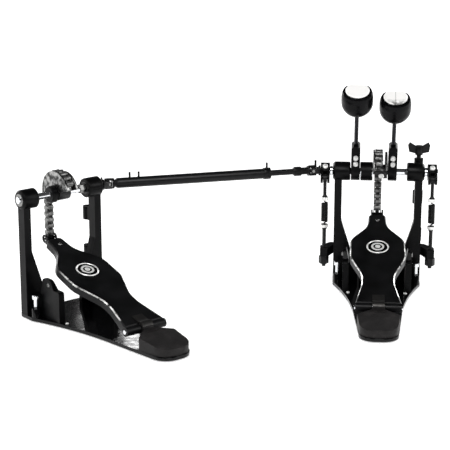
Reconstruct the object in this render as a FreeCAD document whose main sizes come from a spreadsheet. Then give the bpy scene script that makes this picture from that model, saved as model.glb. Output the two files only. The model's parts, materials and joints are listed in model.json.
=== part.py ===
import FreeCAD, Part
import math
import os

import Sketcher
from FreeCAD import Placement, Rotation, Vector

# Double bass drum pedal: a main pedal with two beaters, a slave pedal on its left and a
# telescopic drive shaft with two universal joints between them.
# Frame: floor at z = 0, origin below the middle of the main axle, +Y towards the drum,
# +X from the slave pedal to the main pedal. Millimetres and degrees.

SIZES = {
    # Stance shared by both pedals
    "axle_height": 182.0,
    "axle_radius": 5.0,
    "slave_x": -473.0,
    "slave_y": -170.0,
    "slave_yaw_angle": 44.0,
    # Clearances
    "fit_gap": 0.05,
    "turn_gap": 0.1,
    "running_gap": 0.35,
    # Base plate
    "pad_thickness": 2.0,
    "front_pad_depth": 26.0,
    "pad_margin": 8.0,
    "rear_pad_depth": 16.0,
    "base_thickness": 5.0,
    "base_front": 52.0,
    "nose_width": 92.0,
    "nose_depth": 26.0,
    "base_margin": 0.2,
    "slave_front": 14.0,
    "base_shoulder": 21.0,
    "flank_hollow": 6.3,
    "tail_width": 71.0,
    "tail_lead": 26.0,
    "heel_width": 69.0,
    "heel_end_width": 55.0,
    "heel_length": 80.5,
    "heel_corner": 24.0,
    "nose_corner": 8.0,
    # Posts and bearing housings
    "post_offset": 62.5,
    "post_width": 11.6,
    "post_depth": 16.0,
    "flare_top": 104.0,
    "flare_foot": 52.0,
    "board_clearance": 1.0,
    "web_reach": 14.0,
    "web_depth": 7.0,
    "web_rise": 20.0,
    "brace_width": 9.5,
    "brace_reach": 70.0,
    "brace_gap_foot": 38.0,
    "brace_shelf": 54.0,
    "ear_middle": 38.5,
    "ear_foot": 34.0,
    "ear_width": 20.0,
    "ear_top": 68.0,
    "ear_round": 8.0,
    "shelf_round": 3.0,
    "housing_radius": 14.6,
    "housing_inboard": 18.5,
    "housing_outboard": 8.5,
    "housing_chamfer": 3.0,
    "bearing_radius": 9.5,
    "bearing_width": 5.0,
    # Spurs
    "spur_inset": 7.3,
    "spur_back": 21.0,
    "spur_radius": 3.5,
    "spur_tip": 7.0,
    "spur_head": 5.6,
    "spur_head_rise": 6.0,
    "spur_top": 41.0,
    "spur_boss_radius": 6.6,
    "spur_boss_top": 21.0,
    # Heel plate and hinge
    "hinge_y": 206.0,
    "hinge_z": 27.0,
    "hinge_pin_radius": 3.0,
    "hinge_pin_stub": 1.5,
    "knuckle_radius": 8.6,
    "knuckle_width": 18.0,
    "knuckle_gap": 1.4,
    "heel_gap": 10.0,
    "heel_front_rise": 28.0,
    "heel_rear_rise": 18.0,
    "heel_arch": 20.0,
    "heel_margin": 1.5,
    # Footboard: lengths along the board from its tip back to the slim waist, then from the hinge pin
    "board_thickness": 4.0,
    "board_skirt": 11.5,
    "board_wall": 3.6,
    "board_barrel": 6.5,
    "tip_setback": 8.5,
    "tip_width": 26.0,
    "tip_round": 7.0,
    "tip_length": 35.0,
    "toe_width": 30.0,
    "toe_round": 40.0,
    "shoulder_length": 37.0,
    "shoulder_width": 84.0,
    "shoulder_round": 38.0,
    "wide_length": 49.0,
    "wide_width": 85.0,
    "waist_length": 47.0,
    "slim_width": 49.0,
    "slim_round": 51.0,
    "slim_end": 50.0,
    "board_heel_width": 68.0,
    "board_heel": 3.0,
    "board_edge": 1.6,
    # Chain, cam and toe clevis
    "chain_pitch": 9.525,
    "chain_teeth": 20.0,
    "chain_width": 6.4,
    "plate_thickness": 1.25,
    "link_gap": 0.925,
    "plate_waist": 3.0,
    "chain_pin": 1.8,
    "chain_bush": 4.0,
    "drop_links": 8.0,
    "wrap_links": 6.0,
    "rim_gap": 1.15,
    "rim_width": 13.0,
    "rim_wall": 4.5,
    "ridge_gap": 0.55,
    "ridge_side": 0.4,
    "cam_start_angle": -22.0,
    "cam_sweep_angle": 186.0,
    "cam_hub_radius": 11.0,
    "cam_hub_end": 13.0,
    "cam_web": 5.0,
    "cam_plate": 2.4,
    "cam_plate_radius": 34.0,
    "cam_flange": 3.4,
    "cam_flange_radius": 31.0,
    "toe_rise": 2.0,
    "clevis_side": 1.2,
    "clevis_cheek": 2.4,
    "clevis_radius": 6.4,
    "clevis_length": 38.0,
    "toe_play": 1.7,
    # Beaters
    "beater_lean_angle": 27.0,
    "hub_gap": 0.9,
    "cam_gap": 1.2,
    "primary_reach": 126.0,
    "secondary_reach": 137.5,
    "hub_width": 13.6,
    "hub_radius": 14.2,
    "hub_rise": 54.0,
    "hub_root": 22.0,
    "hub_crown": 14.0,
    "hub_taper": 2.8,
    "rod_radius": 3.2,
    "rod_start": 19.0,
    "head_radius": 24.0,
    "head_stretch": 8.5,
    "head_flat": 9.6,
    "head_face": 15.1,
    "head_socket": 9.0,
    "cap_radius": 18.0,
    "cap_offset": 2.5,
    "cap_thickness": 2.0,
    "cap_bevel": 1.0,
    "key_bolt_radius": 2.5,
    "key_head_radius": 3.6,
    "key_head_rise": 4.0,
    "hub_bolt_low": 24.0,
    "hub_bolt_step": 11.0,
    # Secondary shaft nose in the axle's cup
    "cup_gap": 1.1,
    "cam_side": 3.0,
    "cup_floor": 4.5,
    "cup_radius": 14.4,
    "axle_stub": 2.0,
    # Spring sets
    "spring_outboard": 20.5,
    "rocker_width": 14.0,
    "rocker_radius": 12.5,
    "rocker_arm": 22.0,
    "rocker_drop_angle": 18.0,
    "rocker_eye": 8.0,
    "slot_side": 0.4,
    "slot_gap": 1.4,
    "rocker_pin": 2.5,
    "eye_radius": 6.2,
    "eye_width": 6.0,
    "eye_play": 0.85,
    "hanger_radius": 2.6,
    "spring_cap_radius": 5.6,
    "spring_cap_rim": 3.6,
    "spring_cap_rise": 8.4,
    "hanger_length": 35.2,
    "spring_length": 39.0,
    "spring_wire": 0.85,
    "spring_coil": 4.5,
    "spring_gap": 0.45,
    "tension_rod": 3.0,
    "tension_rod_stub": 4.65,
    "tension_reach": 37.0,
    "bracket_depth": 14.0,
    "bracket_margin": 6.0,
    "nut_radius": 8.0,
    "nut_rise": 12.0,
    # Hoop clamp
    "clamp_screw_y": 18.0,
    "clamp_screw_radius": 3.5,
    "clamp_tip_radius": 1.0,
    "clamp_boss_radius": 7.0,
    "clamp_boss_rise": 18.0,
    "clamp_boss_length": 26.0,
    "guide_radius": 8.0,
    "guide_length": 20.0,
    "upper_guide_drop": 34.0,
    "lower_guide_drop": 95.0,
    "wing_stem": 6.0,
    "wing_stem_rise": 14.0,
    "wing_thickness": 4.0,
    "wing_root": 5.0,
    "wing_root_rise": 2.0,
    "wing_flank": 15.5,
    "wing_flank_rise": 4.5,
    "wing_tip": 17.3,
    "wing_tip_rise": 15.0,
    "wing_crown": 14.5,
    "wing_rise": 19.5,
    "wing_notch": 4.5,
    "wing_notch_rise": 13.5,
    "jaw_pivot_y": 4.0,
    "jaw_pivot_drop": 4.0,
    "jaw_pin": 2.5,
    "jaw_lug": 6.0,
    "jaw_lug_gap": 3.0,
    "jaw_width": 36.0,
    "jaw_front": 50.0,
    "hoop_gap": 21.0,
    "jaw_rise": 7.0,
    "jaw_arm_rise": 10.9,
    "jaw_arm_depth": 12.0,
    "jaw_pad": 3.0,
    "jaw_pad_depth": 18.0,
    # Drive shaft and universal joints
    "joint_gap": 4.6,
    "rocker_gap": 0.6,
    "yoke_half": 8.0,
    "yoke_arm": 2.7,
    "yoke_tip": 4.2,
    "yoke_trim": 0.7,
    "yoke_throat": 7.4,
    "yoke_back": 3.0,
    "cross_gap": 0.7,
    "cross_round": 5.75,
    "cross_pin": 2.2,
    "tube_radius": 7.8,
    "rod_play": 1.0,
    "tube_neck": 2.6,
    "tube_wall_end": 26.0,
    "tube_stop": 72.0,
    "collar_radius": 9.0,
    "collar_length": 10.0,
    "inner_rod_radius": 4.6,
    "inner_rod_start": 62.0,
    "coupling_radius": 7.4,
    "coupling_length": 13.0,
    "coupling_gap": 22.0,
    "drive_bolt_a": 22.0,
    "drive_bolt_b": 36.0,
    "drive_bolt_rise": 8.0,
    "drive_bolt_radius": 1.6,
}

doc = FreeCAD.newDocument("DoublePedal")
sheet = doc.addObject("Spreadsheet::Sheet", "size")
for row, (alias, number) in enumerate(SIZES.items(), start=1):
    sheet.set(f"A{row}", alias)
    sheet.set(f"B{row}", str(number))
    sheet.setAlias(f"B{row}", alias)
doc.recompute()

TURN = {
    "X": Rotation(Vector(0, 1, 0), 90),
    "Y": Rotation(Vector(1, 0, 0), -90),
    "Z": Rotation(),
}
X_AXIS = Vector(1, 0, 0)
Z_AXIS = Vector(0, 0, 1)

AXLE = "size.axle_height"
PLATE_TOP = "(size.pad_thickness + size.base_thickness)"
POST_OUT = "(size.post_offset + size.post_width / 2)"
POST_IN = "(size.post_offset - size.post_width / 2)"
FLARE_IN = "(size.wide_width / 2 + size.board_clearance)"
HOUSING_IN = "(size.post_offset - size.housing_inboard)"
HOUSING_OUT = "(size.post_offset + size.housing_outboard)"
BASE_HALF = f"({POST_OUT} + size.base_margin)"
HEEL_REAR = "(size.hinge_y + size.heel_length)"
SPUR_X = f"({POST_OUT} - size.spur_inset)"
SPRING_X = "(size.post_offset + size.spring_outboard)"
SECONDARY_X = f"(size.hub_gap + size.hub_width / 2 - {HOUSING_IN})"
PRIMARY_X = "(size.cam_hub_end + size.cam_gap + size.hub_width / 2)"
CLAMP_TOP = f"({AXLE} + size.clamp_boss_rise)"
CLAMP_FOOT = f"({CLAMP_TOP} - size.clamp_boss_length)"
JAW_FOOT = f"({PLATE_TOP} + size.hoop_gap)"
JAW_PIVOT_Z = f"({JAW_FOOT} - size.jaw_pivot_drop)"
JAW_ARM_TOP = f"({JAW_FOOT} + size.jaw_arm_rise)"
CLAMP_TIP = f"({JAW_ARM_TOP} + size.turn_gap)"
JAW_LUG_X = "(size.jaw_width / 2 + size.jaw_lug_gap + size.jaw_lug / 2)"
YOKE_LENGTH = "(size.yoke_throat + size.yoke_back)"
MAIN_JOINT = f"({SPRING_X} + size.rocker_width / 2 + size.rocker_gap + {YOKE_LENGTH})"
SLAVE_JOINT = f"({HOUSING_OUT} + size.joint_gap + {YOKE_LENGTH})"
CROSS_HALF = "(size.yoke_half - size.yoke_arm - size.cross_gap)"
TUBE_BORE = "(size.inner_rod_radius + size.rod_play)"
TUBE_START = f"({YOKE_LENGTH} + size.tube_neck)"

parts = []


def value(expression):
    """Number that an expression in the sheet's sizes gives."""
    return float(sheet.evalExpression(str(expression)))


def bind(piece, **expressions):
    for name, expression in expressions.items():
        piece.setExpression(name, expression)


def seat(piece, x, y, z, turn=Rotation()):
    """Places a piece at a point given by expressions."""
    piece.Placement = Placement(Vector(value(x), value(y), value(z)), turn)
    for name, expression in (("x", x), ("y", y), ("z", z)):
        piece.setExpression(f"Placement.Base.{name}", str(expression))
    return piece


def finish(label, piece, place=None):
    """Registers a piece as a sub-part under its label, at its pedal's place."""
    piece.Label = label
    if place is not None:
        piece.Placement = place.multiply(piece.Placement)
    parts.append(piece)
    return piece


def cylinder(name, radius, length, x, y, z, axis="Z"):
    piece = doc.addObject("Part::Cylinder", name)
    bind(piece, Radius=radius, Height=length)
    return seat(piece, x, y, z, TURN[axis])


def box(name, x0, x1, y0, y1, z0, z1):
    piece = doc.addObject("Part::Box", name)
    bind(piece, Length=f"({x1}) - ({x0})", Width=f"({y1}) - ({y0})", Height=f"({z1}) - ({z0})")
    return seat(piece, x0, y0, z0)


def fuse(name, pieces):
    piece = doc.addObject("Part::MultiFuse", name)
    piece.Shapes = pieces
    piece.Refine = True
    return piece


def cut(name, base, tools):
    piece = doc.addObject("Part::Cut", name)
    piece.Base = base
    piece.Tool = tools[0] if len(tools) == 1 else fuse(name + "_tools", tools)
    piece.Refine = True
    return piece


def group(name, pieces):
    piece = doc.addObject("Part::Compound", name)
    piece.Links = pieces
    return piece


def origin_feature(body, role):
    return next(item for item in body.Origin.OriginFeatures if item.Role == role)


def hollow_arc(start, end, depth):
    """Arc that dips to the right of the way from start to end."""
    way = end - start
    middle = (start + end) * 0.5 + Vector(way.y, -way.x, 0) * (depth / way.Length)
    return Part.Arc(start, middle, end)


def outline(body, role, corners, offset="0"):
    """Closed sketch, each corner held by two bound distances. A third item hollows the side after it."""
    sketch = body.newObject("Sketcher::SketchObject", body.Name + "_outline")
    sketch.AttachmentSupport = (origin_feature(body, role), [""])
    sketch.MapMode = "FlatFace"
    sketch.setExpression("AttachmentOffset.Base.z", offset)
    points = [Vector(value(corner[0]), value(corner[1]), 0) for corner in corners]
    count = len(points)
    for i, corner in enumerate(corners):
        ends = points[i], points[(i + 1) % count]
        hollow = len(corner) == 3
        sketch.addGeometry(hollow_arc(*ends, value(corner[2])) if hollow else Part.LineSegment(*ends))
    for i in range(count):
        sketch.addConstraint(Sketcher.Constraint("Coincident", i, 2, (i + 1) % count, 1))
    for i, corner in enumerate(corners):
        for kind, expression in zip(("DistanceX", "DistanceY"), corner):
            held = sketch.addConstraint(Sketcher.Constraint(kind, -1, 1, i, 1, value(expression)))
            sketch.setExpression(f"Constraints[{held}]", str(expression))
        if len(corner) == 3:
            x, y, depth = corner
            next_x, next_y = corners[(i + 1) % count][:2]
            chord = f"((({next_x}) - ({x})) ^ 2 + (({next_y}) - ({y})) ^ 2)"
            radius = f"{chord} / 8 / ({depth}) + ({depth}) / 2"
            held = sketch.addConstraint(Sketcher.Constraint("Radius", i, value(radius)))
            sketch.setExpression(f"Constraints[{held}]", radius)
    return sketch


def padded(name, role, corners, length, offset="0", midplane=False):
    """Body that is one outline padded along its plane's normal."""
    body = doc.addObject("PartDesign::Body", name)
    profile = outline(body, role, corners, offset)
    pad = body.newObject("PartDesign::Pad", name + "_pad")
    pad.Profile = profile
    pad.Midplane = midplane
    bind(pad, Length=length)
    doc.recompute()
    return body


def turned(name, axis, profile):
    """Body turned about X, with (x, radius) corners, or about Z, with (radius, z) corners."""
    body = doc.addObject("PartDesign::Body", name)
    sketch = outline(body, "XZ_Plane", profile)
    turn = body.newObject("PartDesign::Revolution", name + "_turn")
    turn.Profile = sketch
    turn.ReferenceAxis = (origin_feature(body, axis + "_Axis"), [""])
    turn.Angle = 360
    return body


def mirrored(right_side):
    """Whole outline of a shape that is alike on both sides of x = 0."""
    left_side = []
    for i in reversed(range(len(right_side))):
        hollow = right_side[i - 1][2:] if i else ()
        left_side.append((f"-({right_side[i][0]})", right_side[i][1]) + hollow)
    return right_side + left_side


def round_corners(body, corners, radius, along=Z_AXIS):
    """Rounds the edges that stand on the named corners of an outline."""
    doc.recompute()
    spots = [(value(corner[0]), value(corner[1])) for corner in corners]
    names = []
    for i, edge in enumerate(body.Shape.Edges, start=1):
        ends = [(v.X, v.Y) if along is Z_AXIS else (v.Y, v.Z) for v in edge.Vertexes]
        if len(ends) == 2 and any(all(math.dist(end, spot) < 1e-4 for end in ends) for spot in spots):
            names.append(f"Edge{i}")
    base = body.Tip
    rounding = body.newObject("PartDesign::Fillet", body.Name + "_round")
    rounding.Base = (base, names)
    bind(rounding, Radius=radius)
    doc.recompute()


def both(corner):
    return [corner, (f"-({corner[0]})", corner[1])]


def chamfer(body, names, size):
    """Chamfers the named edges of a body's last feature."""
    base = body.Tip
    bevel = body.newObject("PartDesign::Chamfer", body.Name + "_bevel")
    bevel.Base = (base, names)
    bind(bevel, Size=size)
    doc.recompute()


def base_plate(name, with_clamp):
    if with_clamp:
        front = [("size.nose_width / 2", "size.base_front"), (BASE_HALF, "size.base_front - size.nose_depth")]
    else:
        front = [(BASE_HALF, "size.slave_front")]
    shoulder = (BASE_HALF, "-size.base_shoulder", "size.flank_hollow")
    tail = ("size.tail_width / 2", "size.tail_lead - size.hinge_y")
    heel = ("size.heel_end_width / 2", f"-{HEEL_REAR}")
    corners = mirrored(front + [shoulder, tail, heel])
    plate = padded(name + "_sheet", "XY_Plane", corners, "size.base_thickness", "size.pad_thickness")
    for corner in front:
        round_corners(plate, both(corner), "size.nose_corner")
    round_corners(plate, both(heel), "size.heel_corner")
    pieces = [plate]
    holes = []
    for side in (1, -1):
        x = f"{side} * {SPUR_X}"
        pieces.append(cylinder(name + "_boss", "size.spur_boss_radius",
                               f"size.spur_boss_top - {PLATE_TOP}", x, "-size.spur_back", PLATE_TOP))
        holes.append(cylinder(name + "_spur_hole", "size.spur_radius + size.turn_gap",
                              "size.spur_top", x, "-size.spur_back", "0"))
    if with_clamp:
        for side in (1, -1):
            middle = f"{side} * {JAW_LUG_X}"
            pieces.append(box(name + "_lug", f"{middle} - size.jaw_lug / 2",
                              f"{middle} + size.jaw_lug / 2", "size.jaw_pivot_y - size.jaw_lug",
                              "size.jaw_pivot_y + size.jaw_lug", PLATE_TOP,
                              f"{JAW_PIVOT_Z} + size.jaw_lug"))
        holes.append(cylinder(name + "_pivot_hole", "size.jaw_pin + size.fit_gap",
                              f"2 * {BASE_HALF}", f"-{BASE_HALF}", "size.jaw_pivot_y",
                              JAW_PIVOT_Z, "X"))
    return cut(name, fuse(name + "_blank", pieces), holes)


def rubber_pads(name):
    """Grip strips under the posts and under the heel."""
    strips = (("front", BASE_HALF, "0"),
              ("rear", "size.heel_end_width / 2", f"size.heel_corner + size.rear_pad_depth - {HEEL_REAR}"))
    pads = []
    for end, edge, y in strips:
        half = f"({edge} - size.pad_margin)"
        deep = f"size.{end}_pad_depth / 2"
        pads.append(box(f"{name}_{end}", f"-{half}", half, f"{y} - {deep}", f"{y} + {deep}",
                        "0", "size.pad_thickness"))
    return group(name, pads)


def post(name, side, with_screw=False):
    """Cast post with its brace towards the player and its bearing housing."""
    x = {key: f"{side} * ({text})" for key, text in {
        "out": POST_OUT, "in": POST_IN, "foot": FLARE_IN}.items()}
    front = padded(name + "_front", "XZ_Plane", [
        (x["in"], AXLE), (x["out"], AXLE), (x["out"], PLATE_TOP), (x["foot"], PLATE_TOP),
        (x["foot"], "size.flare_foot"), (x["in"], "size.flare_top")],
        "2 * size.brace_reach", midplane=True)
    half = "size.post_depth / 2"
    ear = [(f"-(size.ear_middle {sign} size.ear_width / 2)", "size.ear_top") for sign in "-+"]
    shelf = [("-(size.ear_middle + size.ear_foot / 2)", "size.brace_shelf"),
             ("-size.brace_reach", "size.brace_shelf")]
    flank = padded(name + "_flank", "YZ_Plane", [
        (half, PLATE_TOP), (half, AXLE), (f"-{half}", AXLE), (f"-{half}", "size.brace_gap_foot"),
        ("-(size.ear_middle - size.ear_foot / 2)", "size.brace_gap_foot"), *ear, *shelf,
        ("-size.brace_reach", PLATE_TOP)], f"2 * {POST_OUT} + size.post_width", midplane=True)
    round_corners(flank, ear, "size.ear_round", X_AXIS)
    round_corners(flank, shelf, "size.shelf_round", X_AXIS)
    casting = doc.addObject("Part::Common", name + "_casting")
    casting.Base = front
    casting.Tool = flank
    edge = f"({FLARE_IN} + size.brace_width)"
    outer = f"({POST_OUT} + size.post_width)"
    span = (edge, outer) if side > 0 else (f"-{outer}", f"-{edge}")
    recess = box(name + "_recess", span[0], span[1], "-2 * size.brace_reach", f"-{half}",
                 "0", AXLE)
    column = cut(name + "_column", casting, [recess])
    housing = turned(name + "_housing", "X", [
        (f"{side} * {HOUSING_IN}", "0"), (f"{side} * {HOUSING_OUT}", "0"),
        (f"{side} * {HOUSING_OUT}", "size.housing_radius - size.housing_chamfer"),
        (f"{side} * ({HOUSING_OUT} - size.housing_chamfer)", "size.housing_radius"),
        (f"{side} * ({HOUSING_IN} + size.housing_chamfer / 2)", "size.housing_radius"),
        (f"{side} * {HOUSING_IN}", "size.housing_radius - size.housing_chamfer / 2")])
    seat(housing, "0", "0", AXLE)
    web_end = f"{side} * ({FLARE_IN} - size.web_reach)"
    web = padded(name + "_inner_web", "XZ_Plane", [
        (x["in"], "size.flare_top"), (x["out"], PLATE_TOP), (web_end, PLATE_TOP), (web_end, "size.web_rise")],
        "size.web_depth", f"{half} - size.web_depth")
    solids = [column, housing, web]
    holes = [cylinder(name + "_bore", "size.bearing_radius + size.fit_gap",
                      f"2 * {HOUSING_OUT}", f"-{HOUSING_OUT}", "0", AXLE, "X")]
    if side > 0:
        guides = [(f"{AXLE} - size.{end}_guide_drop - size.guide_length", "size.guide_radius",
                   "size.guide_length") for end in ("upper", "lower")]
        if with_screw:
            guides.append((CLAMP_FOOT, "size.clamp_boss_radius", "size.clamp_boss_length"))
        for foot, radius, length in guides:
            solids.append(cylinder(name + "_guide", radius, length, "size.post_offset",
                                   "size.clamp_screw_y", foot))
            web_top = f"{AXLE} + size.clamp_boss_radius" if foot is CLAMP_FOOT else f"{foot} + {length}"
            solids.append(box(name + "_web", POST_IN, POST_OUT, "0", "size.clamp_screw_y", foot, web_top))
        holes.append(cylinder(name + "_screw_hole", "size.clamp_screw_radius + size.running_gap",
                              CLAMP_TOP, "size.post_offset", "size.clamp_screw_y", PLATE_TOP))
    return cut(name, fuse(name + "_blank", solids), holes)


def bearings(name):
    rings = []
    for side in (1, -1):
        for end, step in ((HOUSING_IN, 1), (HOUSING_OUT, -1)):
            near = f"{side} * {end}"
            far = f"{side} * ({end} + {step} * size.bearing_width)"
            ring = turned(name + "_ring", "X", [
                (near, "size.axle_radius + size.turn_gap"), (far, "size.axle_radius + size.turn_gap"),
                (far, "size.bearing_radius"), (near, "size.bearing_radius")])
            rings.append(seat(ring, "0", "0", AXLE))
    return group(name, rings)


def pins_and_spurs(name, with_clamp):
    """Hinge pin, clamp pivot pin and the two spur screws of one frame."""
    half = "(size.board_heel_width / 2 + size.hinge_pin_stub)"
    pins = [cylinder(name + "_hinge", "size.hinge_pin_radius", f"2 * {half}", f"-{half}",
                     "-size.hinge_y", "size.hinge_z", "X")]
    if with_clamp:
        half = f"({JAW_LUG_X} + size.jaw_lug / 2)"
        pins.append(cylinder(name + "_clamp", "size.jaw_pin", f"2 * {half}", f"-{half}",
                             "size.jaw_pivot_y", JAW_PIVOT_Z, "X"))
    for side in (1, -1):
        pin = turned(name + "_spur", "Z", [
            ("0", "size.fit_gap"), ("size.spur_radius", "size.spur_tip"),
            ("size.spur_radius", "size.spur_top - size.spur_head_rise"),
            ("size.spur_head", "size.spur_top - size.spur_head_rise"),
            ("size.spur_head", "size.spur_top"), ("0", "size.spur_top")])
        pins.append(seat(pin, f"{side} * {SPUR_X}", "-size.spur_back", "0"))
    return group(name, pins)


HEEL_FRONT = "-(size.hinge_y + size.heel_gap)"


def heel_plate(name):
    rear = f"-({HEEL_REAR} - size.heel_margin)"
    wedge = padded(name + "_wedge", "YZ_Plane", [
        (HEEL_FRONT, PLATE_TOP), (HEEL_FRONT, "size.heel_front_rise"),
        (rear, "size.heel_rear_rise"), (rear, PLATE_TOP)], "size.heel_width", midplane=True)
    end = ("size.heel_end_width / 2 - size.heel_margin", rear)
    plan = padded(name + "_plan", "XY_Plane", mirrored([
        ("size.heel_width / 2 - size.heel_margin", HEEL_FRONT), end]), "size.heel_front_rise", "0")
    round_corners(plan, both(end), "size.heel_corner - size.heel_margin")
    block = doc.addObject("Part::Common", name + "_block")
    block.Base = wedge
    block.Tool = plan
    arch = [padded(name + "_arch", "XY_Plane", [
        (f"{side} * size.knuckle_width / 2", HEEL_FRONT), (f"{side} * size.heel_width / 2", HEEL_FRONT),
        (f"{side} * size.heel_width / 2", f"{HEEL_FRONT} - size.heel_arch")],
        "size.heel_front_rise", PLATE_TOP) for side in (1, -1)]
    knuckle = cylinder(name + "_knuckle", "size.knuckle_radius", "size.knuckle_width",
                       "-size.knuckle_width / 2", "-size.hinge_y", "size.hinge_z", "X")
    tongue = box(name + "_tongue", "-size.knuckle_width / 2", "size.knuckle_width / 2",
                 HEEL_FRONT + " - size.heel_gap", "-size.hinge_y", PLATE_TOP, "size.hinge_z")
    hole = cylinder(name + "_pin_hole", "size.hinge_pin_radius + size.fit_gap",
                    "size.heel_width", "-size.heel_width / 2", "-size.hinge_y", "size.hinge_z", "X")
    shaped = cut(name + "_shaped", block, arch)
    return cut(name, fuse(name + "_blank", [shaped, knuckle, tongue]), [hole])


PITCH_RADIUS = value("size.chain_pitch / 2") / math.sin(math.pi / value("size.chain_teeth"))
LINK_STEP = 360 / value("size.chain_teeth")
TOE_Z = value(AXLE) - value("size.drop_links * size.chain_pitch")
TOE_REACH = math.hypot(PITCH_RADIUS + value("size.hinge_y"), TOE_Z - value("size.hinge_z"))
BOARD_SLOPE = math.degrees(
    math.atan2(TOE_Z - value("size.hinge_z"), PITCH_RADIUS + value("size.hinge_y"))
    - math.asin(value("size.toe_rise") / TOE_REACH))
TOE_U = math.sqrt(TOE_REACH ** 2 - value("size.toe_rise") ** 2)
BOARD_TIP = f"({TOE_U} - size.tip_setback)"
PLATE_RADIUS = "((size.chain_pitch - size.link_gap) / 2)"
RIM_RADIUS = f"({PITCH_RADIUS} - {PLATE_RADIUS} - size.rim_gap)"
RIDGE_RADIUS = f"({PITCH_RADIUS} - size.chain_bush - size.ridge_gap)"
CHAIN_HALF = "(size.chain_width / 2 + 2 * size.plate_thickness + 2 * size.turn_gap)"
CLEVIS_IN = f"({CHAIN_HALF} + size.clevis_side)"
CLEVIS_OUT = f"({CLEVIS_IN} + size.clevis_cheek)"
LEAVING_LINKS = 2
BOARD_PLACE = Placement(Vector(0, -value("size.hinge_y"), value("size.hinge_z")),
                        Rotation(X_AXIS, BOARD_SLOPE))


def board_corners(inset):
    """Right side of the board's outline, from its tip to its heel."""
    toe = f"({BOARD_TIP} - size.tip_length)"
    shoulder = f"({toe} - size.shoulder_length)"
    wide = f"({shoulder} - size.wide_length)"
    slim = f"({wide} - size.waist_length)"
    side = [("tip_width", BOARD_TIP), ("toe_width", toe), ("shoulder_width", shoulder),
            ("wide_width", wide), ("slim_width", slim), ("slim_width", "size.slim_end"),
            ("board_heel_width", "size.board_heel")]
    return [(f"size.{width} / 2 - {inset}", reach) for width, reach in side]


def footboard(name):
    """Hollow-backed cast board, in its own frame along the board from the hinge pin."""
    outer = board_corners("0")
    top = "size.board_barrel"
    board = padded(name + "_skin", "XY_Plane", mirrored(outer), "size.board_skirt",
                   f"{top} - size.board_skirt")
    round_corners(board, both(outer[0]), "size.tip_round")
    round_corners(board, both(outer[1]), "size.toe_round")
    round_corners(board, both(outer[2]) + both(outer[3]), "size.shoulder_round")
    round_corners(board, both(outer[4]) + both(outer[5]), "size.slim_round")
    face = max(board.Shape.Faces, key=lambda item: item.CenterOfMass.z)
    rim = [f"Edge{i}" for i, edge in enumerate(board.Shape.Edges, start=1)
           if any(edge.isSame(other) for other in face.Edges)]
    chamfer(board, rim, "size.board_edge")
    inner = board_corners("size.board_wall")
    inner[0] = (inner[0][0], f"{BOARD_TIP} - size.board_wall")
    inner[-1] = (inner[-1][0], "size.board_heel + 2 * size.board_barrel")
    hollow = padded(name + "_hollow", "XY_Plane", mirrored(inner), "size.board_skirt",
                    f"{top} - size.board_skirt - size.board_thickness")
    round_corners(hollow, both(inner[2]) + both(inner[3]), "size.shoulder_round - size.board_wall")
    round_corners(hollow, both(inner[4]) + both(inner[5]), "size.slim_round + size.board_wall")
    barrel = cylinder(name + "_barrel", "size.board_barrel", "size.board_heel_width",
                      "-size.board_heel_width / 2", "0", "0", "X")
    notch_half = "(size.knuckle_width / 2 + size.running_gap)"
    notch = box(name + "_notch", f"-{notch_half}", notch_half, "-2 * size.knuckle_radius",
                "size.knuckle_radius + size.knuckle_gap", "-size.board_skirt", "size.board_skirt")
    pin_hole = cylinder(name + "_pin_hole", "size.hinge_pin_radius + size.turn_gap",
                        "2 * size.board_heel_width", "-size.board_heel_width", "0", "0", "X")
    slot = box(name + "_slot", f"-{CLEVIS_OUT}", CLEVIS_OUT, f"{BOARD_TIP} - size.clevis_length",
               f"2 * {BOARD_TIP}", "-size.board_skirt", f"{top} - size.board_thickness")
    return cut(name, fuse(name + "_blank", [cut(name + "_shell", board, [hollow]), barrel]),
               [notch, pin_hole, slot])


def toe_clevis(name):
    """Forked bracket under the toe that takes the chain's last pin, in the board's frame."""
    under = "(size.board_barrel - size.board_thickness)"
    plate = box(name + "_plate", f"-{CLEVIS_OUT}", CLEVIS_OUT, f"{BOARD_TIP} - size.clevis_length",
                BOARD_TIP, f"{under} - size.clevis_cheek", under)
    solids = [plate]
    for start in (CLEVIS_IN, f"-{CLEVIS_OUT}"):
        solids.append(cylinder(name + "_cheek", "size.clevis_radius", "size.clevis_cheek",
                               start, str(TOE_U), "size.toe_rise", "X"))
        solids.append(box(name + "_arm", start, f"{start} + size.clevis_cheek",
                          f"{BOARD_TIP} - size.clevis_radius", str(TOE_U),
                          f"{under} - size.clevis_radius", under))
    eye = cylinder(name + "_eye", "size.chain_pin + size.toe_play", f"2 * {CLEVIS_OUT}",
                   f"-{CLEVIS_OUT}", str(TOE_U), "size.toe_rise", "X")
    return cut(name, fuse(name + "_blank", solids), [eye])


def link_plate(x):
    """Waisted chain plate from one pin to the next along -Z."""
    thickness = value("size.plate_thickness")
    pitch = value("size.chain_pitch")
    waist = value("size.plate_waist")
    ends = [Part.makeCylinder(value(PLATE_RADIUS), thickness, Vector(x, 0, z), X_AXIS)
            for z in (0, -pitch)]
    web = Part.makeBox(thickness, 2 * waist, pitch, Vector(x, -waist, -pitch))
    return ends[0].multiFuse([ends[1], web])


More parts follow.
